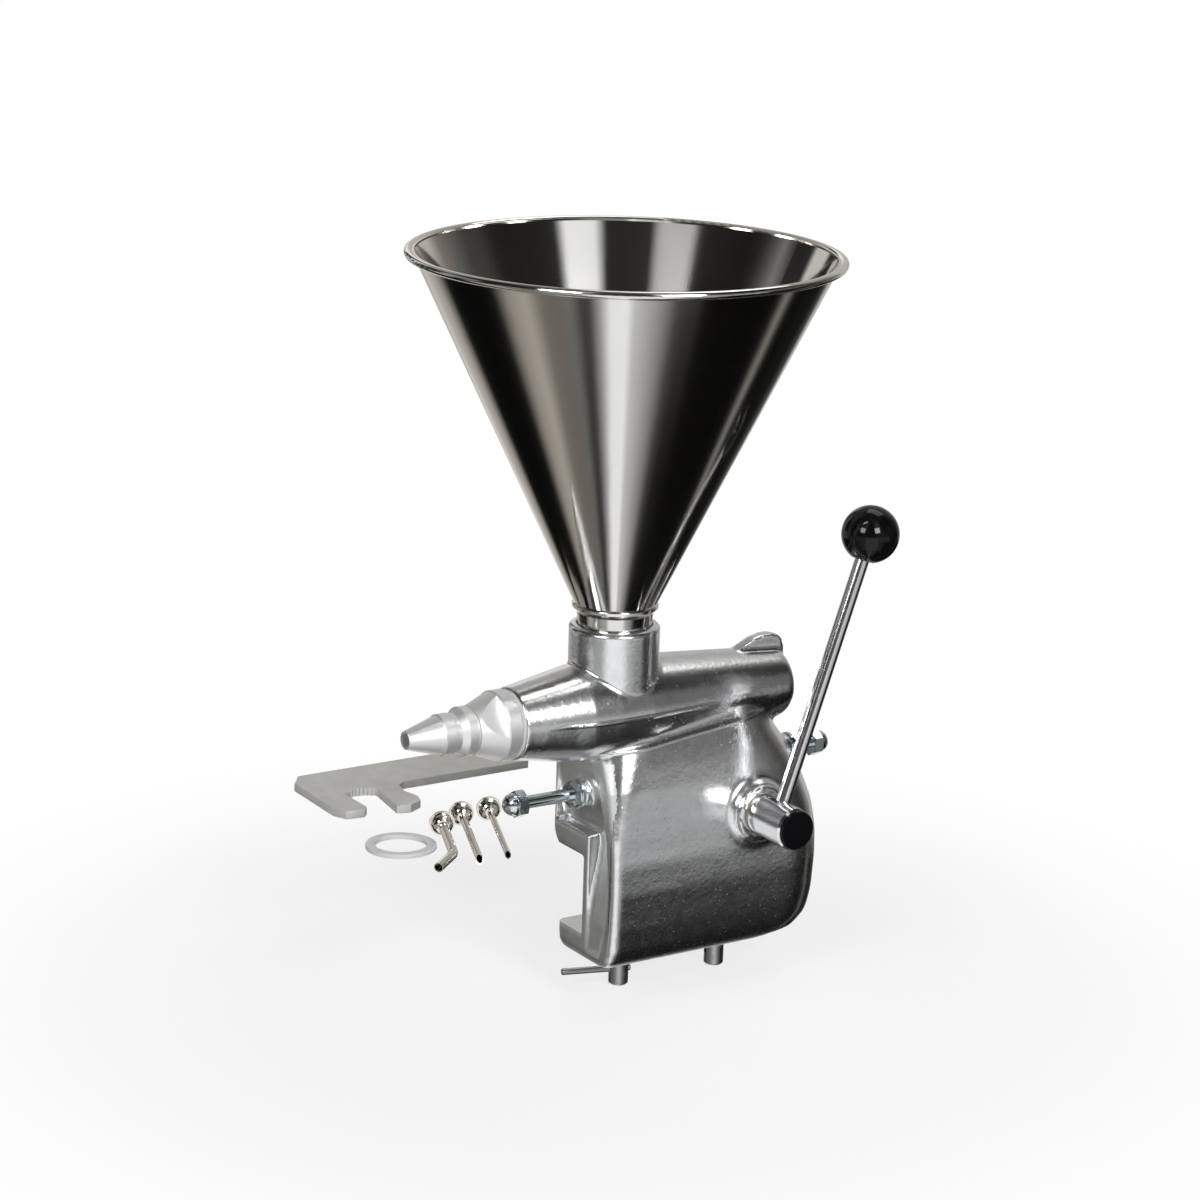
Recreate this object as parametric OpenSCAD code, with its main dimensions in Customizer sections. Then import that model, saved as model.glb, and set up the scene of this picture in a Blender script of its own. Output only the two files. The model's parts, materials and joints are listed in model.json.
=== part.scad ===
/* [Pump barrel] */
// Height of the barrel's axis above the tabletop
axis_h = 102; // [96:1:110]
// Diameter of the pump bore
bore_d = 40; // [36:0.5:41]
// Outer diameter of the barrel under the hopper
barrel_d = 69.4; // [66:0.2:74]
// Half length of the barrel's widest stretch
barrel_crown = 12; // [6:1:18]
// Outer diameter of the barrel at its closed end
tail_d = 49.8; // [49:0.2:54]
// Distance from the hopper's axis to the barrel's closed end
tail_len = 138.5; // [138:0.5:146]
// Rounding of the closed end's edge
tail_round = 6; // [3:0.5:8]
// Thickness of the closed end
tail_wall = 6.5; // [5:0.5:7]
// Distance from the hopper's axis to the nose's end face
nose_len = 83; // [78:1:92]
// Outer diameter of the nose at its end face
nose_d = 49.4; // [49:0.1:54]
// Distance from the hopper's axis to where the nose meets the barrel
nose_root = 33; // [26:1:38]
// Outer diameter where the nose meets the barrel
nose_root_d = 66.8; // [62:0.2:69]
// Diameter of the nozzle's thread
nozzle_thread_d = 43; // [42:0.1:44]
// Depth of the nozzle's thread in the nose
nozzle_thread_len = 12; // [9:0.5:16]
// Length of the fin on the barrel's closed end
fin_len = 46; // [30:1:50]
// Height of the fin above the barrel's axis
fin_h = 36.5; // [34:0.5:40]
// Thickness of the fin
fin_t = 9; // [6:0.5:12]

/* [Neck] */
// Outer diameter of the neck
neck_d = 62; // [60:0.5:66]
// Height of the neck above the barrel's axis
neck_h = 60; // [54:1:70]
// Rounding of the neck's outer edge
neck_round = 2; // [1:0.5:3]
// Diameter of the wide recess at the neck's mouth
mouth_d = 52.4; // [51:0.2:55]
// Depth of the wide recess at the neck's mouth
mouth_depth = 6; // [3:0.5:8]
// Diameter of the socket that takes the hopper's spigot
socket_d = 48.4; // [47:0.2:50]
// Depth of the socket below the neck's rim
socket_depth = 25; // [20:1:27]
// Diameter of the throat that feeds the barrel
throat_d = 35; // [30:0.5:36]

/* [Casing] */
// Distance from the hopper's axis to the front rim
casing_front = 23; // [21:0.5:26]
// Distance of the casing's furthest point at the back behind the barrel's closed end
casing_overhang = 28; // [26:0.5:34]
// Greatest half width on the lever's side
casing_near = 45; // [43:0.5:50]
// Half width on the table's side
casing_far = 37; // [37:0.5:42]
// Depth of the casing's bottom below the tabletop
casing_drop = 76; // [72:1:84]
// Depth of the casing's top edge below the barrel's axis
casing_tuck = 6; // [4:0.5:9]
// Length of the rounded back, from its tip to full width
back_round = 40; // [34:1:46]
// Width of the front corner's rounding at its widest, on the lever's side
front_round = 22; // [18:0.5:24]
// Rounding of the front corner on the table's side
far_round = 6; // [3:0.5:8]
// Width of the rim round the front panel, on the lever's side
rim_near = 6; // [4:0.5:8]
// Width of the rim round the front panel, on the table's side
rim_far = 4; // [3:0.5:6]
// Greatest depth of the front panel behind its rim
panel_depth = 11; // [8:0.5:12]
// Height of the hook's front lip above the tabletop
lip_h = 16; // [12:0.5:20]
// Thickness of the wall between the front rim and the mechanism's bay
front_wall = 18; // [16:0.5:20]
// Width of the mechanism's bay on the lever's side
bay_near = 32; // [28:0.5:33]
// Width of the mechanism's bay on the table's side
bay_far = 30.5; // [26:0.5:31]
// Half width of the bay's narrow back part
bay_back_half = 20; // [16:0.5:21]
// Thickness of the hook between the tabletop and the bay
hook_wall = 8; // [6:0.5:9]
// Thickness of metal between the bay and the bore
roof_wall = 16; // [14:0.5:18]
// Thickness of the walls of the column beside the table's edge
column_wall = 7; // [5:0.5:8]
// Width of the slot that the rocker arm swings in
swing_slot_w = 13; // [12.5:0.1:15]

/* [Table clamp] */
// Distance from the barrel's centre plane to the wall at the table's edge
edge_wall = 5; // [4:0.5:7]
// Height of the slot for the tabletop
slot_h = 57; // [52:1:62]
// Diameter of the clamp screws
clamp_d = 14; // [12:0.5:16]
// Distance of the clamp screws from the barrel's centre plane
clamp_y = 14; // [12:0.5:18]
// Distance from the hopper's axis to the front clamp screw
clamp_front_x = 22; // [18:1:30]
// Distance from the hopper's axis to the rear clamp screw
clamp_rear_x = 103.5; // [96:0.5:110]
// Length of a clamp screw below its pad
clamp_len = 63; // [60:1:70]
// Diameter of the pressure pads
pad_d = 28; // [24:1:30]
// Thickness of the pressure pads
pad_t = 7; // [6:0.5:9]
// Gap below a pressure pad as it stands
pad_gap = 12; // [10:1:18]
// Diameter of the neck that the pad swivels on
pad_neck_d = 8; // [7:0.5:9]
// Diameter of the tommy bar
tommy_d = 4.8; // [4:0.2:6]
// Length of the tommy bar
tommy_len = 50; // [44:1:64]
// Distance of the tommy bar above the screw's end
tommy_up = 11; // [9:0.5:14]
// Angle of the tommy bar seen from above
tommy_angle = 17.4; // [0:0.1:40]
// Length of the tommy bar that stands out on its short side
tommy_short = 8.5; // [8:0.5:12]

/* [Cross shaft] */
// Height of the cross shaft above the tabletop
shaft_h = 25; // [24:0.5:26]
// Diameter of the cross shaft
shaft_d = 16; // [14:0.5:17]
// Distance from the centre plane to the shaft's near end
shaft_near = 82; // [78:0.5:83]
// Distance from the centre plane to the shaft's far end
shaft_far = 50.5; // [50:0.5:54]
// Outer diameter of the shaft bushes
bush_d = 22; // [20:0.5:24]
// Diameter of the bush flanges
bush_flange_d = 27; // [26:0.5:29]
// Thickness of the bush flanges
bush_flange_t = 2; // [1.5:0.1:2.5]
// Distance from the centre plane to the casting's near boss face
boss_near = 50; // [49:0.5:52]
// Diameter of the near boss at its face
boss_d = 39; // [36:0.5:42]
// Diameter of the near boss where it meets the casing
boss_root_d = 47; // [44:0.5:50]
// Width of the near boss's two steps together
boss_step = 8; // [6:0.5:10]
// Rise of the cast pad that the far side cover sits on
cover_pad_rise = 1; // [0.5:0.5:2]
// Width of the pad's rim round the cover
cover_pad_rim = 2; // [1:0.5:3]
// Thickness of the far side cover
cover_t = 5; // [4:0.5:6]
// Length of the far side cover
cover_len = 84; // [80:1:90]
// Height of the far side cover
cover_h = 55; // [52:1:55]
// Height of the far side cover's lower edge above the tabletop
cover_up = 11.5; // [11:0.5:12]
// Distance from the cross shaft's axis to the far side cover's front edge
cover_fore = 61; // [58:0.5:64]
// Width of the cover's margin round the opening behind it
cover_margin = 9; // [8.5:0.5:10]
// Corner radius of the far side cover
cover_corner = 5; // [3:0.5:7]
// Diameter of the cover screws
cover_screw_d = 5; // [4:0.5:5.5]
// Head diameter of the cover screws
cover_head_d = 8.4; // [7:0.2:8.6]
// Head height of the cover screws
cover_head_h = 2.8; // [2:0.2:4]
// Thread length of the cover screws in the casting
cover_screw_len = 5; // [3:0.5:5.5]
// Thickness of the shaft's washer
shaft_washer_t = 1.6; // [1:0.1:2]
// Diameter of the shaft's washer
shaft_washer_d = 28; // [24:0.5:30]
// Thickness of the retaining ring
ring_t = 1.5; // [1:0.1:1.6]
// Outer diameter of the retaining ring
ring_d = 23; // [21:0.5:25]
// Diameter of the shaft at the bottom of the ring's groove
ring_groove_d = 13; // [12:0.2:13.4]

/* [Lever] */
// Diameter of the lever's hub
hub_d = 29.2; // [27:0.2:32]
// Length of the lever's hub
hub_len = 36.6; // [34:0.2:40]
// Chamfer at the hub's outer end
hub_chamfer = 2.2; // [1:0.1:3]
// Diameter of the black cap on the hub's end
cap_d = 27.6; // [26:0.2:28.4]
// Thickness of the cap
cap_t = 1.8; // [1.4:0.1:2.6]
// Rounding of the cap's edge
cap_round = 1; // [0.5:0.1:1.2]
// Diameter of the cap's plug in the hub
plug_d = 20; // [17:0.5:22]
// Length of the cap's plug
plug_len = 4; // [3:0.5:4.5]
// Diameter of the lever rod
rod_d = 10; // [9:0.2:11]
// Distance from the hub's inner end to the lever rod
rod_in = 14; // [12:0.5:18]
// Length from the cross shaft's axis to the knob's centre
lever_len = 207; // [180:1:240]
// Angle of the lever behind upright, at rest
lever_lean = 19.25; // [18:0.25:20]
// Swing of the lever from its rear stop to its front stop
lever_swing = 34; // [26:1:36]
// Diameter of the ball knob
knob_d = 40; // [34:1:46]
// Diameter of the flat round the rod on the knob
knob_flat_d = 16; // [14:0.5:18]
// Depth of the rod in the knob below its centre
knob_grip = 4; // [0:0.5:8]

/* [Rocker and piston] */
// Height of the drive pin above the barrel's axis when the rocker stands upright
pin_rise = 3; // [2.5:0.1:3.5]
// Diameter of the rocker's boss
rocker_boss_d = 28; // [26:0.5:29]
// Width of the rocker's boss
rocker_boss_w = 24; // [20:1:28]
// Diameter of the rocker's eye
rocker_eye_d = 18; // [16:0.5:18.5]
// Thickness of the rocker's arm
rocker_t = 10; // [8:0.5:10.4]
// Diameter of the rocker's set screw
set_screw_d = 8; // [6:0.5:9]
// Diameter of the drive pin
pin_d = 10; // [8:0.5:10.5]
// Length of the drive pin
pin_len = 32; // [28:0.5:32]
// Distance from the hopper's axis to the piston's face at rest
piston_face = 24; // [22:0.5:27]
// Gap between the piston's end and the bore's closed end at rest
piston_end_gap = 1; // [0.6:0.1:2]
// Distance from the drive pin's axis to the piston's end at rest
pin_back = 9.6; // [9.2:0.1:10]
// Play of the drive pin in the yoke slot, on each side
yoke_slack = 0.5; // [0.4:0.1:1]
// Width of the slot in the piston that the arm enters
piston_slot_w = 11; // [10.8:0.1:12.5]
// Play in front of the rocker arm in the piston's slot
piston_slot_play = 1.2; // [1:0.1:2.5]
// Chamfer on the piston's face
piston_chamfer = 1.5; // [0.5:0.1:2.5]
// Thickness of a piston seal
seal_t = 3; // [2:0.1:4]
// Distance from the piston's face to the first seal
seal_back = 5; // [4:0.5:8]
// Distance between the piston seals
seal_pitch = 9; // [7:0.5:12]

/* [Stop screws] */
// Diameter of the stop screws
stop_d = 9; // [8:0.1:10]
// Diameter of a stop screw's tip
stop_tip_d = 5; // [4:0.5:6]
// Length of a stop screw's tapered tip
stop_tip_len = 3; // [2:0.5:4]
// Distance of the front stop screw below the barrel's axis
front_stop_drop = 58; // [57:0.5:60]
// Height of the rear stop screw above the tabletop
rear_stop_h = 51.5; // [50:0.5:54]
// Distance from the hopper's axis to the front stop's boss face
front_seat = 25.2; // [24:0.1:28]
// Distance of the rear stop's boss face ahead of the casing's furthest point
rear_seat_in = 17.5; // [14:0.5:18.5]
// Diameter of the stop bosses on the casting
stop_boss_d = 20; // [18:0.5:24]
// Distance from the hopper's axis to the front acorn nut's tip
front_reach = 85; // [78:1:94]
// Reach of the rear acorn nut's tip past the stop's boss face
rear_reach = 35; // [31:0.5:42]
// Width across flats of the nuts
nut_flats = 17; // [15:0.5:18]
// Thickness of the lock nuts
lock_nut_t = 5.4; // [5:0.2:8]
// Length of the acorn nuts
acorn_len = 15.5; // [14.5:0.5:18]
// Length of an acorn nut's hexagon
acorn_hex_len = 7.5; // [6.5:0.5:8]
// Thickness of the washers
washer_t = 2; // [1.4:0.1:2.4]
// Diameter of the washers
washer_d = 20.6; // [18:0.2:22]

/* [Hopper] */
// Outer diameter of the hopper's rolled rim
rim_d = 293.3; // [260:1:320]
// Height of the rim's top above the barrel's axis
rim_h = 314; // [290:1:340]
// Thickness of the rolled rim
bead_d = 5.5; // [4.5:0.1:7]
// Thickness of the hopper's sheet
sheet_t = 1.2; // [1:0.1:1.6]
// Outer diameter of the cone where it meets the spigot
cone_foot_d = 56; // [54:0.5:57]
// Height of the cone's foot above the neck's rim
cone_foot_h = 14; // [12:0.5:18]
// Diameter of the weld ring on the spigot
weld_ring_d = 58.8; // [57.5:0.2:62]
// Diameter of the waist below the weld ring
waist_d = 52.4; // [51:0.2:54]
// Diameter of the shoulder that stands in the neck's mouth
shoulder_d = 51; // [50:0.2:52]
// Bore of the spigot
spigot_bore = 40; // [36:0.5:42]

/* [Seals] */
// Thickness of the seal under the spigot
spigot_seal_t = 3; // [2:0.2:4]
// Width of the seal under the spigot
spigot_seal_w = 6.6; // [5:0.2:6.8]
// Thickness of the seal behind the nozzle
nozzle_seal_t = 2; // [1:0.2:3]

/* [Nozzle] */
// Diameter of the union's flange
flange_d = 48.6; // [48:0.2:52]
// Length of the union's flange
flange_len = 10.5; // [8:0.5:14]
// Diameter at the union's step behind the flats
cone_d = 47; // [45:0.2:47.6]
// Length of the union's cone
cone_len = 17.5; // [15:0.5:24]
// Diameter at the union's small end
cone_end_d = 33.4; // [32.6:0.2:35]
// Width across the two spanner flats
flats_w = 35; // [34.2:0.2:38]
// Angle of the spanner flats from upright, towards the lever's side
flats_angle = 53.5; // [30:0.5:70]
// Length of the union's thread
union_thread_len = 9; // [7:0.5:9.4]
// Diameter of the union's inlet
union_inlet_d = 37; // [34:0.5:38]
// Diameter of the tip's thread
tip_thread_d = 25; // [22:0.2:26]
// Length of the tip's thread
tip_thread_len = 12; // [9:0.5:14]
// Length of the neck behind the tip's rear ring
tip_neck_len = 1.7; // [1:0.1:3]
// Diameter of the tip's rear ring
tip_ring_d = 33.8; // [33:0.2:35.6]
// Length of the tip's rear ring
tip_ring_len = 7; // [5:0.5:9]
// Length of the cove between the tip's rings
cove_len = 8; // [6:0.5:10]
// Diameter at the bottom of the cove
cove_d = 27; // [26.4:0.2:28]
// Diameter of the tip's front ring
front_ring_d = 28.4; // [28.2:0.2:30]
// Length of the tip's front ring
front_ring_len = 8.5; // [6:0.5:10]
// Diameter where the tapered outlet starts
taper_d = 26.6; // [25:0.2:28]
// Length of the tapered outlet
taper_len = 24; // [20:0.5:32]
// Outer diameter of the outlet's mouth
mouth_outer_d = 12.6; // [12.2:0.2:14]
// Diameter of the outlet's bore
outlet_d = 10.4; // [9:0.1:10.6]
// Length of the outlet's straight bore
outlet_len = 12; // [9:0.5:15]

/* [Spanner] */
// Distance from the hopper's axis to the spanner's handle end
spanner_x = 45; // [30:1:60]
// Distance from the centre plane to the handle's near edge
spanner_y = 176; // [150:1:200]
// Length of the spanner's bar
spanner_len = 172; // [150:1:200]
// Width of the spanner's bar
spanner_w = 46; // [40:1:50]
// Thickness of the spanner
spanner_t = 6; // [4:0.5:8]
// Width of the spanner's jaw
jaw_w = 36; // [35.4:0.2:40]
// Reach of the spanner's jaw in front of the bar
jaw_reach = 46; // [40:1:54]
// Number of grip teeth in the jaw
jaw_teeth = 9; // [5:1:12]
// Depth of the grip teeth
tooth_depth = 1.2; // [0.6:0.1:2]

/* [Injector spouts] */
// Diameter of a spout's base
base_d = 18; // [15:0.5:22]
// Height of a spout's domed base
base_h = 8; // [6:0.5:10]
// Thickness of the base's rim
base_rim_t = 1.6; // [1:0.1:2.5]
// Outer diameter of the bent spout
bent_d = 6.8; // [6:0.2:8]
// Outer diameter of the wide straight spout
wide_d = 5.4; // [4.6:0.2:6]
// Outer diameter of the narrow straight spout
narrow_d = 4.4; // [3.6:0.2:4.8]
// Thickness of a spout's wall
spout_wall = 0.6; // [0.4:0.05:0.8]
// Length of the straight spouts
spout_len = 82; // [70:1:95]
// Length of the bent spout up to its elbow
bent_len = 50; // [42:1:60]
// Length of the bent spout past its elbow
bent_end_len = 23; // [16:1:28]
// Radius of the elbow
elbow_r = 10; // [8:0.5:14]
// Angle of the elbow
elbow_turn = 32; // [20:1:45]
// Angle of the slanted cut on the straight spouts
slant_angle = 50; // [35:1:60]
// Direction that the spouts point to, from straight at the lever's side
spout_turn = 21.5; // [10:0.5:30]
// Distance from the hopper's axis to the narrow spout's base
spout_x = 42; // [30:1:50]
// Distance from the centre plane to the spouts' bases
spout_y = 89; // [80:1:100]
// Distance between the spouts' bases
spout_pitch = 22.5; // [19:0.5:26]
// Distance that the bent spout lies ahead of the other two
bent_shift = 11.5; // [0:0.5:16]

/* [Spare gasket] */
// Distance from the hopper's axis to the spare gasket
gasket_x = 125; // [115:1:135]
// Distance from the centre plane to the spare gasket
gasket_y = 68; // [55:1:80]

/* [Hidden] */

// Segments on a turned piece, and on a small round one
fine = 96;
round_steps = 48;
// Overrun of every cut past the face that it opens
over = 1;
// Radial clearance of a running fit, and of pieces fixed to each other
running = 0.06;
seated = 0.04;
// Gap between flat faces that part when their body moves
face_gap = 0.15;
// Gap between the rocker arm and a stop that it has reached
stop_gap = 0.3;
// Radial play of a washer in its spot face
spot_play = 0.6;

bore_r = bore_d / 2;
barrel_r = barrel_d / 2;
tail_r = tail_d / 2;
nose_r = nose_d / 2;
shaft_r = shaft_d / 2;
rod_r = rod_d / 2;
hub_r = hub_d / 2;
casing_back = tail_len + casing_overhang;
front_stop_h = axis_h - front_stop_drop;
rear_seat = casing_back - rear_seat_in;
rear_tip = rear_seat + rear_reach;
piston_end = tail_len - tail_wall - piston_end_gap;
rocker_len = axis_h - shaft_h + pin_rise;
pin_x = piston_end - pin_back;
shaft_x = pin_x - rocker_len * sin(lever_lean);
neck_top = axis_h + neck_h;
socket_floor = neck_top - socket_depth;
casing_top = axis_h - casing_tuck;
casing_height = casing_top + casing_drop;
bay_top = axis_h - bore_r - roof_wall;
bay_front = front_wall - casing_front;
jaw_top = -slot_h;
pad_top = jaw_top + pad_gap + pad_t;

// Casing sections from the bottom up. Each row holds shares of the casing's height, front,
// back, near and far sizes, and of the front corner's rounding.
casing_shares = [
    [0, 0.8, 0.75, 0.6, 0.6, 0.2],
    [0.015, 0.93, 0.86, 0.76, 0.68, 0.2],
    [0.041, 1, 0.93, 0.87, 0.72, 0.22],
    [0.093, 1, 0.975, 0.94, 0.74, 0.24],
    [0.18, 1, 0.993, 0.975, 0.74, 0.22],
    [0.326, 1, 1, 1, 0.8, 0.2],
    [0.442, 1, 0.996, 0.995, 0.86, 0.2],
    [0.471, 1, 0.99, 0.99, 0.96, 0.2],
    [0.5, 1, 0.985, 0.98, 1, 0.21],
    [0.558, 1, 0.972, 0.965, 1, 0.25],
    [0.651, 1, 0.93, 0.935, 1, 0.42],
    [0.744, 1, 0.88, 0.89, 1, 0.6],
    [0.837, 1, 0.82, 0.82, 1, 0.85],
    [0.907, 1, 0.765, 0.755, 0.95, 1],
    [0.953, 1, 0.75, 0.7, 0.9, 1],
    [1, 1, 0.74, 0.66, 0.86, 1]];
// Length of the front corner's rounding along the casing, as a share of its width
corner_length_share = 1.5;
// Share of the base's radius at which a spout's dome starts
dome_share = 0.86;
// Sections of the bent spout's elbow, and points round its tube
elbow_steps = 8;
bent_steps = 24;
// Points on the near front corner, on each half of the back, and on the far front corner
near_steps = 5;
back_steps = 7;
far_steps = 3;

// Edge of the front panel on the lever's side: shares of the casing's height and near width
panel_edge_shares = [[0.9, 0.1], [0.84, 0.27], [0.744, 0.46], [0.651, 0.59], [0.53, 0.72],
    [0.326, 0.78], [0.16, 0.72], [0.05, 0.6]];
// Depth of the front panel: shares of the casing's height and of the panel's depth
panel_depth_shares = [[0.95, 0.1], [0.79, 0.18], [0.7, 0.42], [0.56, 0.95], [0.5, 1],
    [0.44, 0.9], [0.33, 0.55], [0.18, 0.22], [0.03, 0.12]];
// Outline of the fin: shares of its length and of its height above the barrel
fin_shares = [[0, -1], [0, -0.1], [0.2, 0.45], [0.4, 0.83], [0.58, 0.98], [0.74, 1],
    [0.88, 0.86], [0.96, 0.5], [1, -0.2], [1, -1]];
// Overhang of the fin past the barrel's closed end, as a share of its length
fin_overhang_share = 0.05;
// Outline of the bay's back part: shares of the bay's height and of the casing's back
bay_back_shares = [[1, 0.765], [0.55, 0.835], [0.25, 0.875], [0, 0.875]];
// Front end of the bay's back part, as a share of the casing's back
bay_split_share = 0.6;

function casing_ring(row) = let (
        near = casing_near * row[3],
        far = casing_far * row[4],
        front = -casing_front * row[1],
        back = casing_back * row[2],
        corner = min(front_round * row[5], near),
        corner_len = corner * corner_length_share,
        z = casing_z(row[0])) concat(
    [for (i = [0:near_steps]) let (a = 90 * i / near_steps)
        [front + corner_len * (1 - cos(a)), -near + corner * (1 - sin(a)), z]],
    [for (i = [0:back_steps]) let (a = 90 * i / back_steps)
        [back - back_round * (1 - sin(a)), -near * cos(a), z]],
    [for (i = [1:back_steps]) let (a = 90 * i / back_steps)
        [back - back_round * (1 - cos(a)), far * sin(a), z]],
    [for (i = [0:far_steps]) let (a = 90 * i / far_steps)
        [front + far_round * (1 - sin(a)), far - far_round * (1 - cos(a)), z]]);

// Closed skin through rings of equally many points
module skin(rings) {
    n = len(rings[0]);
    m = len(rings);
    points = [for (ring = rings) each ring];
    sides = [for (j = [0:m - 2]) for (i = [0:n - 1]) let (a = j * n + i, b = j * n + (i + 1) % n)
        each [[a, a + n, b + n], [a, b + n, b]]];
    floor_face = [[for (i = [0:n - 1]) i]];
    roof_face = [[for (i = [0:n - 1]) m * n - 1 - i]];
    polyhedron(points = points, faces = concat(floor_face, sides, roof_face));
}

// Turned shape round a line along X at the given height, from points [x, radius]
module turned_x(points, height) {
    translate([0, 0, height])
        rotate([0, 90, 0])
            rotate_extrude($fn = fine)
                polygon([for (p = points) [p[1], p[0]]]);
}

// Turned shape round an upright line through the origin, from points [radius, height]
module turned_z(points) {
    rotate_extrude($fn = fine)
        polygon(points);
}

// Turned shape round the cross shaft, from points [y, radius]
module turned_y(points) {
    translate([shaft_x, 0, shaft_h])
        rotate([-90, 0, 0])
            rotate_extrude($fn = fine)
                polygon([for (p = points) [p[1], p[0]]]);
}

// Cylinder along X from x0 to x1
module bar_x(x0, x1, d, y, z) {
    translate([x0, y, z])
        rotate([0, 90, 0])
            cylinder(d = d, h = x1 - x0, $fn = round_steps);
}

// Cylinder along Y from y0 to y1
module bar_y(y0, y1, d, x, z) {
    translate([x, y0, z])
        rotate([-90, 0, 0])
            cylinder(d = d, h = y1 - y0, $fn = round_steps);
}

// Box between two corners
module block(low, high) {
    translate(low)
        cube(high - low);
}

// Prism along Y over an outline of [x, z] points
module prism_y(points, y0, y1) {
    translate([0, y1, 0])
        rotate([90, 0, 0])
            linear_extrude(height = y1 - y0)
                polygon(points);
}

// Prism along X over an outline of [y, z] points
module prism_x(points, x0, x1) {
    translate([x0, 0, 0])
        rotate([90, 0, 90])
            linear_extrude(height = x1 - x0)
                polygon(points);
}

// Flat plate with rounded corners, made of squares and circles
module rounded_plate(w, h, r, t) {
    linear_extrude(height = t) {
        translate([r, 0])
            square([w - 2 * r, h]);
        translate([0, r])
            square([w, h - 2 * r]);
        for (x = [r, w - r], y = [r, h - r])
            translate([x, y])
                circle(r = r, $fn = round_steps);
    }
}

// Things turned with the lever about the cross shaft's axis: X goes along the arm
module on_lever(y) {
    translate([shaft_x, y, shaft_h])
        rotate([0, lever_lean - 90, 0])
            children();
}

function casing_z(share) = -casing_drop + casing_height * share;

barrel_points = concat(
    [[-nose_len, 0], [-nose_len, nose_r], [-nose_root, nose_root_d / 2], [-barrel_crown, barrel_r],
        [barrel_crown, barrel_r]],
    [for (i = [0:6]) let (a = 15 * i)
        [tail_len - tail_round * (1 - sin(a)), tail_r - tail_round * (1 - cos(a))]],
    [[tail_len, 0]]);

neck_points = [[0, axis_h], [neck_d / 2, axis_h], [neck_d / 2, neck_top - neck_round],
    [neck_d / 2 - neck_round / 3, neck_top - neck_round / 3],
    [neck_d / 2 - neck_round, neck_top], [0, neck_top]];

near_boss_points = [[0, 0], [0, boss_root_d / 2],
    [-boss_near + boss_step, boss_root_d / 2],
    [-boss_near + boss_step * 0.6, (boss_root_d + boss_d) / 4 + boss_step / 8],
    [-boss_near + boss_step / 3, boss_d / 2 + boss_step / 8],
    [-boss_near + boss_step / 8, boss_d / 2],
    [-boss_near, boss_d / 2 - boss_step / 8], [-boss_near, 0]];

module casing_skin() {
    skin([for (row = casing_shares) casing_ring(row)]);
}

module fin() {
    fin_base = tail_r;
    fin_x = tail_len - fin_len * (1 - fin_overhang_share);
    outline = [for (p = fin_shares) [fin_x + fin_len * p[0], axis_h + fin_base + (fin_h - fin_base) * p[1]]];
    prism_y(outline, -fin_t / 2, fin_t / 2);
}

module front_panel_recess() {
    edge = [for (p = panel_edge_shares) [-casing_near * p[1], casing_z(p[0])]];
    region = concat(edge, [[-edge_wall - rim_near, casing_z(panel_edge_shares[7][0])],
        [-edge_wall - rim_near, lip_h], [casing_far - rim_far, lip_h],
        [casing_far - rim_far, casing_z(panel_edge_shares[0][0])]]);
    floor_line = [for (p = panel_depth_shares) [-casing_front + panel_depth * p[1], casing_z(p[0])]];
    dish = concat(floor_line, [[-casing_front - panel_depth, casing_z(0)],
        [-casing_front - panel_depth, casing_z(1)]]);
    difference() {
        intersection() {
            prism_x(region, -casing_front - over, -casing_front + 2 * panel_depth);
            prism_y(dish, -2 * casing_near, 2 * casing_far);
        }
        bar_x(-front_seat, casing_front, stop_boss_d, 0, front_stop_h);
        turned_x(barrel_points, axis_h);
    }
}

module mechanism_bay() {
    block([bay_front, -bay_near, hook_wall], [casing_back * bay_split_share, bay_far, bay_top]);
    back = [for (p = bay_back_shares) [casing_back * p[1], hook_wall + (bay_top - hook_wall) * p[0]]];
    prism_y(concat([[casing_back * bay_split_share - over, hook_wall],
        [casing_back * bay_split_share - over, bay_top]], back), -bay_back_half, bay_back_half);
    block([bay_front, -casing_near * casing_shares[3][3] + column_wall, jaw_top],
        [casing_back - back_round, -edge_wall - column_wall, hook_wall + over]);
}

module pump_bore() {
    bar_end = tail_len - tail_wall;
    bar_x(-nose_len - over, bar_end, bore_d, 0, axis_h);
    bar_x(-nose_len - over, -nose_len + nozzle_thread_len, nozzle_thread_d, 0, axis_h);
    slot_y = swing_slot_w / 2;
    block([rocker_fore_x, -slot_y, bay_top - over], [rocker_aft_x, slot_y, axis_h - bore_r * 0.8]);
}

module neck_bore() {
    cylinder(d = throat_d, h = neck_top + over, $fn = fine);
}

// Where the rocker arm's flanks cross the bore's lower wall at the two ends of its swing
flank_tilt = asin((rocker_boss_d - rocker_eye_d) / 2 / rocker_len);
function flank_x(tilt, dz) = (rocker_boss_d / 2 + sin(tilt) * dz) / cos(tilt);
rear_tilt = lever_lean - flank_tilt;
front_tilt = lever_swing - lever_lean - flank_tilt;
bore_floor = axis_h - bore_r - shaft_h;
slot_play = 2.5;
rocker_aft_x = shaft_x + flank_x(rear_tilt, bore_floor) + slot_play;
rocker_fore_x = shaft_x - flank_x(front_tilt, bore_floor) - slot_play;
front_tip_x = shaft_x - flank_x(front_tilt, front_stop_h - shaft_h + stop_tip_d / 2) - stop_gap;
rear_tip_x = shaft_x + flank_x(rear_tilt, rear_stop_h - shaft_h + stop_tip_d / 2) + stop_gap;

cover_x = shaft_x - cover_fore;
cover_back_x = cover_x + cover_len;
cover_screw_hole = cover_screw_d + 2 * seated;
cover_seat = casing_far + cover_pad_rise;
cover_face = cover_seat + seated + cover_t;
screw_inset = cover_margin / 2;
cover_screw_places = [for (x = [cover_x + screw_inset, cover_back_x - screw_inset],
    z = [cover_up + screw_inset, cover_up + cover_h - screw_inset]) [x, z]];

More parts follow.
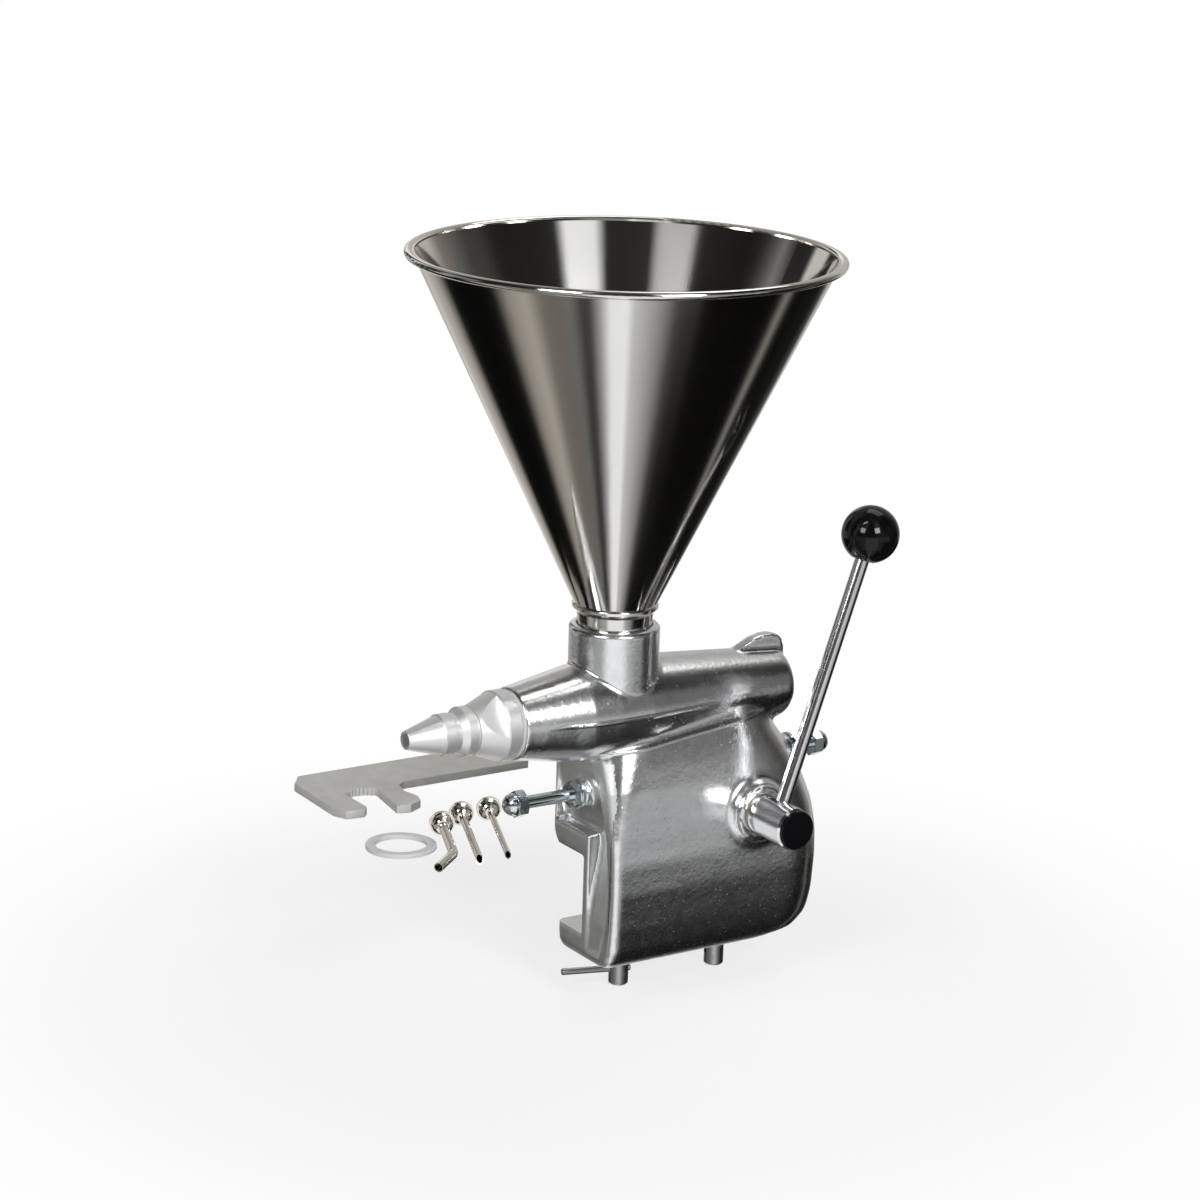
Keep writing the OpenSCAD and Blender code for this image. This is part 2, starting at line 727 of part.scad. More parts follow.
// Slab along the far side in the cover's outline, wider by rim all round
module cover_slab(rim, t, face) {
    translate([cover_x - rim, face, cover_up - rim])
        rotate([90, 0, 0])
            rounded_plate(cover_len + 2 * rim, cover_h + 2 * rim, cover_corner + rim, t);
}

module body_casting() {
    color("silver")
    difference() {
        union() {
            casing_skin();
            turned_x(barrel_points, axis_h);
            turned_z(neck_points);
            fin();
            turned_y(near_boss_points);
            bar_x(-front_seat, casing_front, stop_boss_d, 0, front_stop_h);
            bar_x(rear_seat - back_round / 2, rear_seat, stop_boss_d, 0, rear_stop_h);
            cover_slab(cover_pad_rim, cover_seat - bay_back_half, cover_seat);
        }
        front_panel_recess();
        block([-2 * casing_front, -edge_wall, jaw_top], [2 * casing_back, 2 * casing_far, 0]);
        mechanism_bay();
        pump_bore();
        translate([0, 0, axis_h])
            cylinder(d = throat_d, h = neck_h + over, $fn = fine);
        translate([0, 0, socket_floor])
            cylinder(d = socket_d, h = socket_depth + over, $fn = fine);
        translate([0, 0, neck_top - mouth_depth])
            cylinder(d = mouth_d, h = mouth_depth + over, $fn = fine);
        bar_y(-boss_near - over, 0, bush_d, shaft_x, shaft_h);
        block([cover_x + cover_margin, 0, cover_up + cover_margin],
            [cover_back_x - cover_margin, 2 * casing_far, cover_up + cover_h - cover_margin]);
        bar_y(0, 2 * casing_far, bush_d, shaft_x, shaft_h);
        for (p = cover_screw_places)
            bar_y(cover_seat - cover_screw_len - over, 2 * casing_far, cover_screw_hole, p[0], p[1]);
        bar_x(-2 * front_seat, casing_front, stop_d + 2 * running, 0, front_stop_h);
        bar_x(casing_back * bay_split_share, 2 * casing_back, stop_d + 2 * running, 0, rear_stop_h);
        bar_x(rear_seat, 2 * casing_back, washer_d + 2 * spot_play, 0, rear_stop_h);
        for (x = [clamp_front_x, clamp_rear_x])
            translate([x, clamp_y, -casing_drop - over])
                cylinder(d = clamp_d + 2 * running, h = casing_drop, $fn = round_steps);
    }
}

module side_cover() {
    color("lightsteelblue")
    difference() {
        cover_slab(0, cover_t, cover_face);
        bar_y(0, 2 * casing_far, bush_d + 2 * seated, shaft_x, shaft_h);
        for (p = cover_screw_places)
            bar_y(0, 2 * casing_far, cover_screw_hole, p[0], p[1]);
    }
}

module cover_screws() {
    color("gainsboro")
    for (p = cover_screw_places)
        difference() {
            union() {
                bar_y(cover_seat - cover_screw_len, cover_face + over, cover_screw_d, p[0], p[1]);
                bar_y(cover_face + seated, cover_face + cover_head_h, cover_head_d, p[0], p[1]);
            }
            translate([p[0], cover_face + cover_head_h / 2, p[1]])
                rotate([-90, 0, 0])
                    cylinder(d = cover_head_d * 0.45, h = cover_head_h, $fn = 6);
        }
}

bush_seat_r = bush_d / 2 - seated;

module near_bush() {
    color("goldenrod")
    difference() {
        turned_y([[-bay_near, 0], [-bay_near, bush_seat_r], [-boss_near - seated, bush_seat_r],
            [-boss_near - seated, bush_flange_d / 2], [-boss_near - bush_flange_t, bush_flange_d / 2],
            [-boss_near - bush_flange_t, 0]]);
        bar_y(-2 * boss_near, 0, shaft_d + 2 * running, shaft_x, shaft_h);
    }
}

module far_bush() {
    color("goldenrod")
    difference() {
        turned_y([[cover_seat - cover_t, 0], [cover_seat - cover_t, bush_seat_r],
            [cover_face + seated, bush_seat_r], [cover_face + seated, bush_flange_d / 2],
            [cover_face + bush_flange_t, bush_flange_d / 2], [cover_face + bush_flange_t, 0]]);
        bar_y(0, 2 * casing_far, shaft_d + 2 * running, shaft_x, shaft_h);
    }
}

washer_near_y = cover_face + bush_flange_t + face_gap;
ring_near_y = washer_near_y + shaft_washer_t + seated;

module cross_shaft() {
    color("gray")
    difference() {
        bar_y(-shaft_near, shaft_far, shaft_d, shaft_x, shaft_h);
        difference() {
            bar_y(ring_near_y - seated, ring_near_y + ring_t + seated, 2 * shaft_d, shaft_x, shaft_h);
            bar_y(0, 2 * shaft_far, ring_groove_d, shaft_x, shaft_h);
        }
        on_lever(-hub_inner_y - rod_in)
            translate([-rod_foot - seated, 0, 0])
                rotate([0, 90, 0])
                    cylinder(d = rod_d + 2 * seated, h = shaft_d, $fn = round_steps);
    }
}

module shaft_washer() {
    color("gainsboro")
    difference() {
        bar_y(washer_near_y, washer_near_y + shaft_washer_t, shaft_washer_d, shaft_x, shaft_h);
        bar_y(0, 2 * shaft_far, shaft_d + 2 * running, shaft_x, shaft_h);
    }
}

module retaining_ring() {
    color("dimgray")
    difference() {
        bar_y(ring_near_y, ring_near_y + ring_t, ring_d, shaft_x, shaft_h);
        bar_y(0, 2 * shaft_far, ring_groove_d + 2 * seated, shaft_x, shaft_h);
        block([shaft_x - ring_groove_d / 3, 0, shaft_h],
            [shaft_x + ring_groove_d / 3, 2 * shaft_far, shaft_h + ring_d]);
    }
}

hub_inner_y = boss_near + bush_flange_t + face_gap;
hub_outer_y = hub_inner_y + hub_len;
// Depth of the rod's foot past the shaft's axis
rod_foot = shaft_r * 0.75;

module lever_hub() {
    color("silver")
    difference() {
        turned_y([[-hub_inner_y, 0], [-hub_inner_y, hub_r - hub_chamfer / 3],
            [-hub_inner_y - hub_chamfer / 3, hub_r],
            [-hub_outer_y + hub_chamfer, hub_r], [-hub_outer_y, hub_r - hub_chamfer], [-hub_outer_y, 0]]);
        bar_y(-shaft_near - seated, 0, shaft_d + 2 * seated, shaft_x, shaft_h);
        bar_y(-hub_outer_y - over, -hub_outer_y + plug_len, plug_d + 2 * seated, shaft_x, shaft_h);
        on_lever(-hub_inner_y - rod_in)
            rotate([0, 90, 0])
                cylinder(d = rod_d + 2 * seated, h = hub_d, $fn = round_steps);
    }
}

module hub_end_cap() {
    seat = -hub_outer_y - seated;
    color("black")
    turned_y([[seat + plug_len, 0], [seat + plug_len, plug_d / 2], [seat, plug_d / 2], [seat, cap_d / 2],
        [seat - cap_t + cap_round, cap_d / 2], [seat - cap_t + cap_round / 3, cap_d / 2 - cap_round / 3],
        [seat - cap_t, cap_d / 2 - cap_round], [seat - cap_t, 0]]);
}

module lever_rod() {
    color("lightgray")
    on_lever(-hub_inner_y - rod_in)
        translate([-rod_foot, 0, 0])
            rotate([0, 90, 0])
                cylinder(d = rod_d, h = rod_foot + lever_len - knob_grip, $fn = round_steps);
}

module ball_knob() {
    color("black")
    on_lever(-hub_inner_y - rod_in)
        difference() {
            translate([lever_len, 0, 0])
                sphere(d = knob_d, $fn = fine);
            flat_depth = sqrt(pow(knob_d / 2, 2) - pow(knob_flat_d / 2, 2));
            block([0, -knob_d, -knob_d], [lever_len - flat_depth, knob_d, knob_d]);
            rotate([0, 90, 0])
                cylinder(d = rod_d + 2 * seated, h = lever_len - knob_grip + seated, $fn = round_steps);
        }
}

module rocker_arm() {
    color("slategray")
    on_lever(0)
        difference() {
            union() {
                rotate([90, 0, 0])
                    cylinder(d = rocker_boss_d, h = rocker_boss_w, center = true, $fn = round_steps);
                rotate([90, 0, 0])
                    linear_extrude(height = rocker_t, center = true)
                        rocker_outline();
            }
            rotate([90, 0, 0])
                cylinder(d = shaft_d + 2 * seated, h = 2 * rocker_boss_w, center = true, $fn = round_steps);
            translate([rocker_len, 0, 0])
                rotate([90, 0, 0])
                    cylinder(d = pin_d + 2 * seated, h = 2 * rocker_boss_w, center = true, $fn = round_steps);
            rotate([0, -90, 0])
                cylinder(d = set_screw_d + 2 * seated, h = rocker_boss_d, $fn = round_steps);
        }
}

// Two circles and the band between their outer tangents
module rocker_outline() {
    boss_r = rocker_boss_d / 2;
    eye_r = rocker_eye_d / 2;
    t = [sin(flank_tilt), cos(flank_tilt)];
    circle(r = boss_r, $fn = round_steps);
    translate([rocker_len, 0])
        circle(r = eye_r, $fn = round_steps);
    polygon([[boss_r * t[0], boss_r * t[1]], [rocker_len + eye_r * t[0], eye_r * t[1]],
        [rocker_len + eye_r * t[0], -eye_r * t[1]], [boss_r * t[0], -boss_r * t[1]]]);
}

module rocker_set_screw() {
    color("black")
    on_lever(0)
        difference() {
            translate([-rocker_boss_d / 2 + seated, 0, 0])
                rotate([0, 90, 0])
                    cylinder(d = set_screw_d, h = rocker_boss_d / 2 - shaft_r - 2 * seated, $fn = round_steps);
            translate([-rocker_boss_d / 2 - over, 0, 0])
                rotate([0, 90, 0])
                    cylinder(d = set_screw_d / 2, h = rocker_boss_d / 8 + over, $fn = 6);
        }
}

module drive_pin() {
    color("lightgray")
    on_lever(0)
        translate([rocker_len, 0, 0])
            rotate([90, 0, 0])
                cylinder(d = pin_d, h = pin_len, center = true, $fn = round_steps);
}

piston_r = bore_r - running;
yoke_low = shaft_h + rocker_len * cos(max(lever_lean, lever_swing - lever_lean)) - pin_d / 2 - yoke_slack;
piston_slot_x = shaft_x - piston_slot_play
    + (bore_floor * sin(lever_lean + flank_tilt) - rocker_boss_d / 2) / cos(lever_lean + flank_tilt);
yoke_high = shaft_h + rocker_len + pin_d / 2 + yoke_slack;

module piston() {
    color("silver")
    difference() {
        turned_x([[piston_face, 0], [piston_face, piston_r - piston_chamfer],
            [piston_face + piston_chamfer, piston_r], [piston_end, piston_r], [piston_end, 0]], axis_h);
        for (i = [0, 1])
            seal_shape(i, seal_t + 2 * seated, piston_r - seal_t - seated, 2 * bore_r);
        block([piston_slot_x, -piston_slot_w / 2, 0],
            [piston_end + over, piston_slot_w / 2, shaft_h + rocker_len + rocker_eye_d / 2 + yoke_slack]);
        block([pin_x - pin_d / 2 - yoke_slack, -bore_d, yoke_low],
            [pin_x + pin_d / 2 + yoke_slack, bore_d, yoke_high]);
    }
}

// Ring in or round the piston at the given seal's place
module seal_shape(i, width, inner, outer) {
    x = piston_face + seal_back + i * seal_pitch;
    x0 = x - width / 2;
    x1 = x + width / 2;
    turned_x([[x0, inner], [x0, outer], [x1, outer], [x1, inner]], axis_h);
}

module piston_seals() {
    color("black")
    for (i = [0, 1])
        seal_shape(i, seal_t, piston_r - seal_t, piston_r);
}

// Hexagon nut shape along X from x0 to x1 with its corners turned off
module hex_x(x0, x1, z) {
    corner_r = nut_flats / sqrt(3);
    edge = (corner_r - nut_flats / 2) * 0.6;
    intersection() {
        translate([x0, 0, z])
            rotate([0, 90, 0])
                cylinder(r = corner_r, h = x1 - x0, $fn = 6);
        turned_x([[x0, 0], [x0, corner_r - 2 * edge], [x0 + edge, corner_r], [x1 - edge, corner_r],
            [x1, corner_r - 2 * edge], [x1, 0]], z);
    }
}

module stop_screw(tip, tip_dir, end_x, z) {
    turned_x([[tip, 0], [tip, stop_tip_d / 2], [tip + tip_dir * stop_tip_len, stop_d / 2],
        [end_x, stop_d / 2], [end_x, 0]], z);
}

module acorn_nut(tip_x, dir, z) {
    hex_x0 = tip_x + dir * (acorn_len - acorn_hex_len);
    hex_x1 = tip_x + dir * acorn_len;
    dome_r = nut_flats * 0.47;
    dome_len = acorn_len - acorn_hex_len;
    hole_mouth = hex_x1 + dir * over;
    hole_end = hex_x0 - dir * dome_len / 3;
    difference() {
        union() {
            hex_x(min(hex_x0, hex_x1), max(hex_x0, hex_x1), z);
            turned_x(concat([[hex_x0 + dir * over, 0], [hex_x0 + dir * over, dome_r]],
                [for (i = [0:6]) let (a = 15 * i) [hex_x0 - dir * dome_len * sin(a), dome_r * cos(a)]]), z);
        }
        bar_x(min(hole_mouth, hole_end), max(hole_mouth, hole_end), stop_d + 2 * seated, 0, z);
    }
}

front_nut_x = -front_seat - face_gap - washer_t - seated;
rear_nut_x = rear_seat + face_gap + washer_t + seated;

module front_stop_screw() {
    color("lightcyan")
    stop_screw(front_tip_x, -1, -front_reach + (acorn_len - acorn_hex_len) * 2 / 3 + seated, front_stop_h);
}

module rear_stop_screw() {
    color("lightcyan")
    stop_screw(rear_tip_x, 1, rear_tip - (acorn_len - acorn_hex_len) * 2 / 3 - seated, rear_stop_h);
}

module front_acorn_nut() {
    color("lightcyan")
    acorn_nut(-front_reach, 1, front_stop_h);
}

module rear_acorn_nut() {
    color("lightcyan")
    acorn_nut(rear_tip, -1, rear_stop_h);
}

module front_lock_nut() {
    color("lightcyan")
    difference() {
        hex_x(front_nut_x - lock_nut_t, front_nut_x, front_stop_h);
        bar_x(-2 * front_reach, 0, stop_d + 2 * seated, 0, front_stop_h);
    }
}

module rear_lock_nut() {
    color("lightcyan")
    difference() {
        hex_x(rear_nut_x, rear_nut_x + lock_nut_t, rear_stop_h);
        bar_x(0, 2 * rear_tip, stop_d + 2 * seated, 0, rear_stop_h);
    }
}

module front_washer() {
    color("lightcyan")
    difference() {
        bar_x(front_nut_x + seated, front_nut_x + seated + washer_t, washer_d, 0, front_stop_h);
        bar_x(-2 * front_reach, 0, stop_d + 2 * seated, 0, front_stop_h);
    }
}

module rear_washer() {
    color("lightcyan")
    difference() {
        bar_x(rear_nut_x - seated - washer_t, rear_nut_x - seated, washer_d, 0, rear_stop_h);
        bar_x(0, 2 * rear_tip, stop_d + 2 * seated, 0, rear_stop_h);
    }
}

clamp_top = pad_top - pad_t;
clamp_end = clamp_top - clamp_len;
tommy_z = clamp_end + tommy_up;
pad_socket = pad_t * 0.7;

module clamp_screw(x) {
    difference() {
        translate([x, clamp_y, 0])
            turned_z([[0, clamp_end], [clamp_d / 2 - clamp_d / 14, clamp_end],
                [clamp_d / 2, clamp_end + clamp_d / 14], [clamp_d / 2, clamp_top - seated - clamp_d / 14],
                [clamp_d / 2 - clamp_d / 14, clamp_top - seated], [pad_neck_d / 2, clamp_top - seated],
                [pad_neck_d / 2, clamp_top + pad_socket - seated], [0, clamp_top + pad_socket - seated]]);
        translate([x, clamp_y, tommy_z])
            rotate([0, 90, -tommy_angle])
                cylinder(d = tommy_d + 2 * running, h = 2 * clamp_d, center = true, $fn = round_steps);
    }
}

module clamp_pad(x) {
    difference() {
        translate([x, clamp_y, 0])
            turned_z([[0, clamp_top], [pad_d / 2 - pad_t / 4, clamp_top], [pad_d / 2, clamp_top + pad_t / 4],
                [pad_d / 2, pad_top - pad_t / 8], [pad_d / 2 - pad_t / 8, pad_top], [0, pad_top]]);
        translate([x, clamp_y, clamp_top - over])
            cylinder(d = pad_neck_d + 2 * seated, h = pad_socket + over, $fn = round_steps);
    }
}

module front_clamp_screw() {
    color("gray")
    clamp_screw(clamp_front_x);
}

module rear_clamp_screw() {
    color("gray")
    clamp_screw(clamp_rear_x);
}

module front_clamp_pad() {
    color("dimgray")
    clamp_pad(clamp_front_x);
}

module rear_clamp_pad() {
    color("dimgray")
    clamp_pad(clamp_rear_x);
}

module tommy_bar() {
    color("gray")
    translate([clamp_front_x, clamp_y, tommy_z])
        rotate([0, 90, -tommy_angle])
            translate([0, 0, tommy_short - tommy_len])
                turned_z([[0, 0], [tommy_d / 2 - tommy_d / 8, 0], [tommy_d / 2, tommy_d / 8],
                    [tommy_d / 2, tommy_len - tommy_d / 8], [tommy_d / 2 - tommy_d / 8, tommy_len],
                    [0, tommy_len]]);
}

cone_foot = neck_top + cone_foot_h;
bead_z = axis_h + rim_h - bead_d / 2;
bead_r = (rim_d - bead_d) / 2;
cone_rise = bead_z - cone_foot;
sheet_top_r = bead_r - bead_d / 2;
sheet_slope = (sheet_top_r - cone_foot_d / 2) / cone_rise;
// Width of the sheet's wall measured level
sheet_w = sheet_t * sqrt(1 + sheet_slope * sheet_slope);

module hopper_cone() {
    color("gainsboro")
    union() {
        turned_z([[cone_foot_d / 2 - sheet_w, cone_foot], [cone_foot_d / 2, cone_foot],
            [sheet_top_r, bead_z], [sheet_top_r + sheet_w, bead_z + bead_d / 4],
            [sheet_top_r - sheet_w, bead_z + bead_d / 4], [sheet_top_r - sheet_w, bead_z]]);
        translate([0, 0, bead_z])
            rotate_extrude($fn = fine)
                translate([bead_r, 0])
                    circle(d = bead_d, $fn = round_steps);
    }
}

spigot_r = socket_d / 2 - running;
spigot_foot = socket_floor + spigot_seal_t + face_gap;
// Rises of the spigot's steps above the neck's rim, as shares of the cone foot's height
spigot_step_shares = [0.12, 0.28, 0.62, 0.86, 1];
// Underside of the spigot's shoulder, clear of the floor of the neck's mouth, and its edge
shoulder_z = neck_top - mouth_depth + over;
shoulder_break = 0.5;

module hopper_spigot() {
    s = [for (f = spigot_step_shares) neck_top + cone_foot_h * f];
    color("silver")
    turned_z([[spigot_bore / 2, spigot_foot], [spigot_r, spigot_foot],
        [spigot_r, shoulder_z], [shoulder_d / 2 - shoulder_break, shoulder_z],
        [shoulder_d / 2, shoulder_z + shoulder_break],
        [shoulder_d / 2, s[0]], [waist_d / 2 - shoulder_break, s[1]], [waist_d / 2, s[2]],
        [weld_ring_d / 2, s[3]], [weld_ring_d / 2, s[4] - seated],
        [cone_foot_d / 2 - 2 * sheet_w, s[4] - seated], [spigot_bore / 2, s[2]]]);
}

module spigot_seal() {
    color("whitesmoke")
    translate([0, 0, socket_floor])
        gasket_ring();
}

// Flat ring that seals the hopper's spigot
module gasket_ring() {
    turned_z([[spigot_r - spigot_seal_w, 0], [spigot_r, 0], [spigot_r, spigot_seal_t],
        [spigot_r - spigot_seal_w, spigot_seal_t]]);
}

module spare_gasket() {
    color("whitesmoke")
    translate([-gasket_x, gasket_y, 0])
        gasket_ring();
}

union_rear = -nose_len - nozzle_seal_t - face_gap;
cone_rear = union_rear - flange_len;
cone_front = cone_rear - cone_len;
// Break of sharp turned edges on the nozzle, and the wall of the tip at its thread's end
nozzle_edge = 0.8;
tip_lip = 1;

module nozzle_gasket() {
    inner = nozzle_thread_d / 2 + seated;
    outer = flange_d / 2 - nozzle_edge;
    x0 = -nose_len - nozzle_seal_t;
    x1 = -nose_len - seated;
    color("whitesmoke")
    turned_x([[x0, inner], [x0, outer], [x1, outer], [x1, inner]], axis_h);
}

module nozzle_union() {
    thread_r = nozzle_thread_d / 2 - running;
    socket_r = tip_thread_d / 2 + running;
    socket_x = cone_front + tip_thread_len + seated;
    flange_r = flange_d / 2;
    color("lightgray")
    difference() {
        turned_x([[union_rear + union_thread_len, union_inlet_d / 2], [union_rear + union_thread_len, thread_r],
            [union_rear, thread_r], [union_rear, flange_r - nozzle_edge], [union_rear - nozzle_edge, flange_r],
            [cone_rear + nozzle_edge, flange_r], [cone_rear, flange_r - nozzle_edge],
            [cone_rear, cone_d / 2], [cone_front, cone_end_d / 2],
            [cone_front, socket_r], [socket_x, socket_r], [socket_x, tip_thread_d / 2 - tip_lip],
            [union_rear, union_inlet_d / 2]], axis_h);
        translate([0, 0, axis_h])
            rotate([flats_angle, 0, 0])
                for (side = [-1, 1])
                    translate([0, 0, side * (flats_w + flange_d) / 2])
                        block([cone_front - over, -flange_d, -flange_d / 2], [cone_rear, flange_d, flange_d / 2]);
    }
}

tip_rear = cone_front - face_gap;
ring_rear = tip_rear - tip_neck_len;
ring_front = ring_rear - tip_ring_len;
cove_front = ring_front - cove_len;
taper_rear = cove_front - front_ring_len;
tip_mouth = taper_rear - taper_len;

module nozzle_tip() {
    cove_half = cove_len / 2;
    ring_r = tip_ring_d / 2;
    color("lightgray")
    turned_x(concat(
        [[tip_rear + tip_thread_len, tip_thread_d / 2 - tip_lip], [tip_rear + tip_thread_len, tip_thread_d / 2],
            [tip_rear, tip_thread_d / 2], [tip_rear, ring_r - tip_neck_len], [ring_rear, ring_r - tip_neck_len],
            [ring_rear - nozzle_edge / 2, ring_r], [ring_front + nozzle_edge / 2, ring_r],
            [ring_front, ring_r - nozzle_edge / 2]],
        [for (i = [0:5]) let (a = 18 * i)
            [ring_front - cove_half * sin(a), cove_d / 2 + (ring_r - nozzle_edge - cove_d / 2) * (1 - sin(a))]],
        [[cove_front + nozzle_edge, cove_d / 2], [cove_front, front_ring_d / 2],
            [taper_rear + nozzle_edge, front_ring_d / 2], [taper_rear, taper_d / 2],
            [tip_mouth + nozzle_edge / 4, mouth_outer_d / 2], [tip_mouth, mouth_outer_d / 2 - nozzle_edge / 4],
            [tip_mouth, outlet_d / 2], [tip_mouth + outlet_len, outlet_d / 2],
            [taper_rear, taper_d / 2 - 3 * tip_lip]]), axis_h);
}

module hook_spanner() {
    // The outline's origin is the near corner of the handle's end, with the jaw towards -Y
    bar_left = -spanner_len;
    opening_x1 = bar_left + spanner_len * 0.24;
    opening_x0 = opening_x1 - jaw_w * 0.72;
    jaw_mid = (opening_x0 + opening_x1) / 2;
    arch = spanner_w * 0.12;
    root_y = spanner_w * 0.1;
    outer = [[0, 0], [0, spanner_w], [bar_left + spanner_w * 0.1, spanner_w], [bar_left, spanner_w * 0.86],
        [bar_left - spanner_w * 0.12, spanner_w * 0.7], [bar_left - spanner_w * 0.16, -jaw_reach * 0.62],
        [bar_left - spanner_w * 0.06, -jaw_reach * 0.86], [opening_x0 - jaw_w * 0.12, -jaw_reach * 0.9],
        [opening_x0, -jaw_reach * 0.8], [opening_x0, -root_y]];
    teeth = [for (i = [0:jaw_teeth * 2]) let (f = i / (jaw_teeth * 2), up = 4 * f * (1 - f))
        [opening_x0 + (opening_x1 - opening_x0) * f, -root_y + arch * up + (i % 2) * tooth_depth]];
    right = [[opening_x1, -root_y], [opening_x1 - jaw_w * 0.18, -jaw_reach * 0.98],
        [opening_x1 + jaw_w * 0.1, -jaw_reach * 1.04], [opening_x1 + jaw_w * 0.42, -jaw_reach * 0.9],
        [opening_x1 + jaw_w * 0.5, -jaw_reach * 0.7], [opening_x1 + jaw_w * 0.42, -jaw_reach * 0.4],
        [opening_x1 + jaw_w * 0.5, -jaw_reach * 0.12], [opening_x1 + jaw_w * 0.68, 0]];
    color("darkgray")
    translate([spanner_x, spanner_y, 0])
        linear_extrude(height = spanner_t)
            polygon(concat(outer, teeth, right));
}

// Outline of a spout's base: its rim and its dome, which ends a fillet's width outside the tube
function dome_points(d, fillet) = let (top_r = d / 2 + fillet) concat(
    [[base_d / 2, 0], [base_d / 2, base_rim_t]],
    [for (i = [0:6]) let (a = 15 * i)
        [top_r + (base_d / 2 * dome_share - top_r) * cos(a), base_rim_t + (base_h - base_rim_t) * sin(a)]]);

module spout_base(d) {
    rotate_extrude($fn = round_steps)
        polygon(concat([[d / 2 - spout_wall, 0]], dome_points(d, 0), [[d / 2 - spout_wall, base_h]]));
}

module spout_tube(d, length) {
    difference() {
        cylinder(d = d, h = length, $fn = round_steps);
        translate([0, 0, -over])
            cylinder(d = d - 2 * spout_wall, h = length + 2 * over, $fn = round_steps);
    }
}

// Lays a spout down: its axis dips from the base's centre to the mouth
module lying_spout(i, d, length) {
    dip = asin((base_d - d) / 2 / length);
    translate([-spout_x - i * spout_pitch, spout_y, base_d / 2])
        rotate([0, 0, -spout_turn])
            rotate([90 + dip, 0, 0])
                children();
}

module straight_spout(i, d) {
    lying_spout(i, d, spout_len)
        union() {
            spout_base(d);
            difference() {
                translate([0, 0, base_h])
                    spout_tube(d, spout_len - base_h);
                translate([0, -d / 2, spout_len])
                    rotate([-slant_angle, 0, 0])
                        block([-d, -4 * d, 0], [d, 4 * d, 4 * d]);
            }
        }
}

// Rings of a tube with an elbow, which leans from +Z towards -X
function bent_rings(r, start, last) = let (
        stations = concat([[0, start, 0]],
            [for (i = [0:elbow_steps]) let (a = elbow_turn * i / elbow_steps)
                [elbow_r * (cos(a) - 1), bent_len + elbow_r * sin(a), a]],
            [[elbow_r * (cos(elbow_turn) - 1) - last * sin(elbow_turn),
                bent_len + elbow_r * sin(elbow_turn) + last * cos(elbow_turn), elbow_turn]]))
    [for (s = stations) [for (i = [0:bent_steps - 1]) let (t = 360 * i / bent_steps)
        [s[0] + r * cos(t) * cos(s[2]), r * sin(t), s[1] + r * cos(t) * sin(s[2])]]];

module bent_spout() {
    color("gainsboro")
    translate([0, -bent_shift, 0])
        lying_spout(2, bent_d, bent_len + bent_end_len)
            difference() {
                union() {
                    rotate_extrude($fn = round_steps)
                        polygon(concat([[0, 0]], dome_points(bent_d, spout_wall), [[0, base_h]]));
                    skin(bent_rings(bent_d / 2, base_h / 2, bent_end_len));
                }
                skin(bent_rings(bent_d / 2 - spout_wall, -over, bent_end_len + over));
            }
}

module wide_spout() {
    color("gainsboro")
    straight_spout(1, wide_d);
}

module narrow_spout() {
    color("gainsboro")
    straight_spout(0, narrow_d);
}

body_casting();
side_cover();
cover_screws();
near_bush();
far_bush();
cross_shaft();
shaft_washer();
retaining_ring();
rocker_arm();
rocker_set_screw();
drive_pin();
piston();
piston_seals();
lever_hub();
hub_end_cap();
lever_rod();
ball_knob();
front_stop_screw();
front_acorn_nut();
front_lock_nut();
front_washer();
rear_stop_screw();
rear_acorn_nut();
rear_lock_nut();
rear_washer();
front_clamp_screw();
front_clamp_pad();
rear_clamp_screw();
rear_clamp_pad();
tommy_bar();
hopper_cone();
hopper_spigot();
spigot_seal();
nozzle_gasket();
nozzle_union();
nozzle_tip();
hook_spanner();
spare_gasket();
bent_spout();
wide_spout();
narrow_spout();
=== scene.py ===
"""Looks of the donut filler machine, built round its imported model."""

import json
import logging
import math
from collections.abc import Sequence
from dataclasses import dataclass, field
from enum import Enum

import bmesh
import bpy
from mathutils import Matrix, Vector

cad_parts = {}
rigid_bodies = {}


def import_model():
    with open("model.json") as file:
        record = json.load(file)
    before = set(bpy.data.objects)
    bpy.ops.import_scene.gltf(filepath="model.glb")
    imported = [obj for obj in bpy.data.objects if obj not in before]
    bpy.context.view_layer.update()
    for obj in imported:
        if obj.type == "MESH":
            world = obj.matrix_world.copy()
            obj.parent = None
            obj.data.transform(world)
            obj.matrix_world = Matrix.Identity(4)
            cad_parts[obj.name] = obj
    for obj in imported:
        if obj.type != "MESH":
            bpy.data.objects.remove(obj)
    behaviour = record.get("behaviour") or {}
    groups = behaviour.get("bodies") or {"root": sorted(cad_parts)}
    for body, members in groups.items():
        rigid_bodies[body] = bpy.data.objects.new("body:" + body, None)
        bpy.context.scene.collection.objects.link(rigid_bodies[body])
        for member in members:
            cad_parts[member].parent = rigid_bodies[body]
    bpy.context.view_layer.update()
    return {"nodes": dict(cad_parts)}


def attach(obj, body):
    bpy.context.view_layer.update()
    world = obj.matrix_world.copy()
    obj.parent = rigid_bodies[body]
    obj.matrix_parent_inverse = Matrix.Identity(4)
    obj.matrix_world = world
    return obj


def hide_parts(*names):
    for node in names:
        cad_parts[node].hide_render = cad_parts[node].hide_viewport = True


LOG = logging.getLogger("donut_filler")
MM = 0.001

Piece = bpy.types.Object
Tree = bpy.types.NodeTree
Socket = bpy.types.NodeSocket
Value = Socket | float | Sequence[float]
Pair = tuple[float, float]
Point = tuple[float, float, float]
Line = tuple[Pair, ...]
Stops = tuple[Point, ...]
Nets = tuple[tuple[float, ...], ...]


class Axis(Enum):
    """Axis of the row frame that a turned piece or a grain runs along."""

    X = 0
    Y = 1
    Z = 2


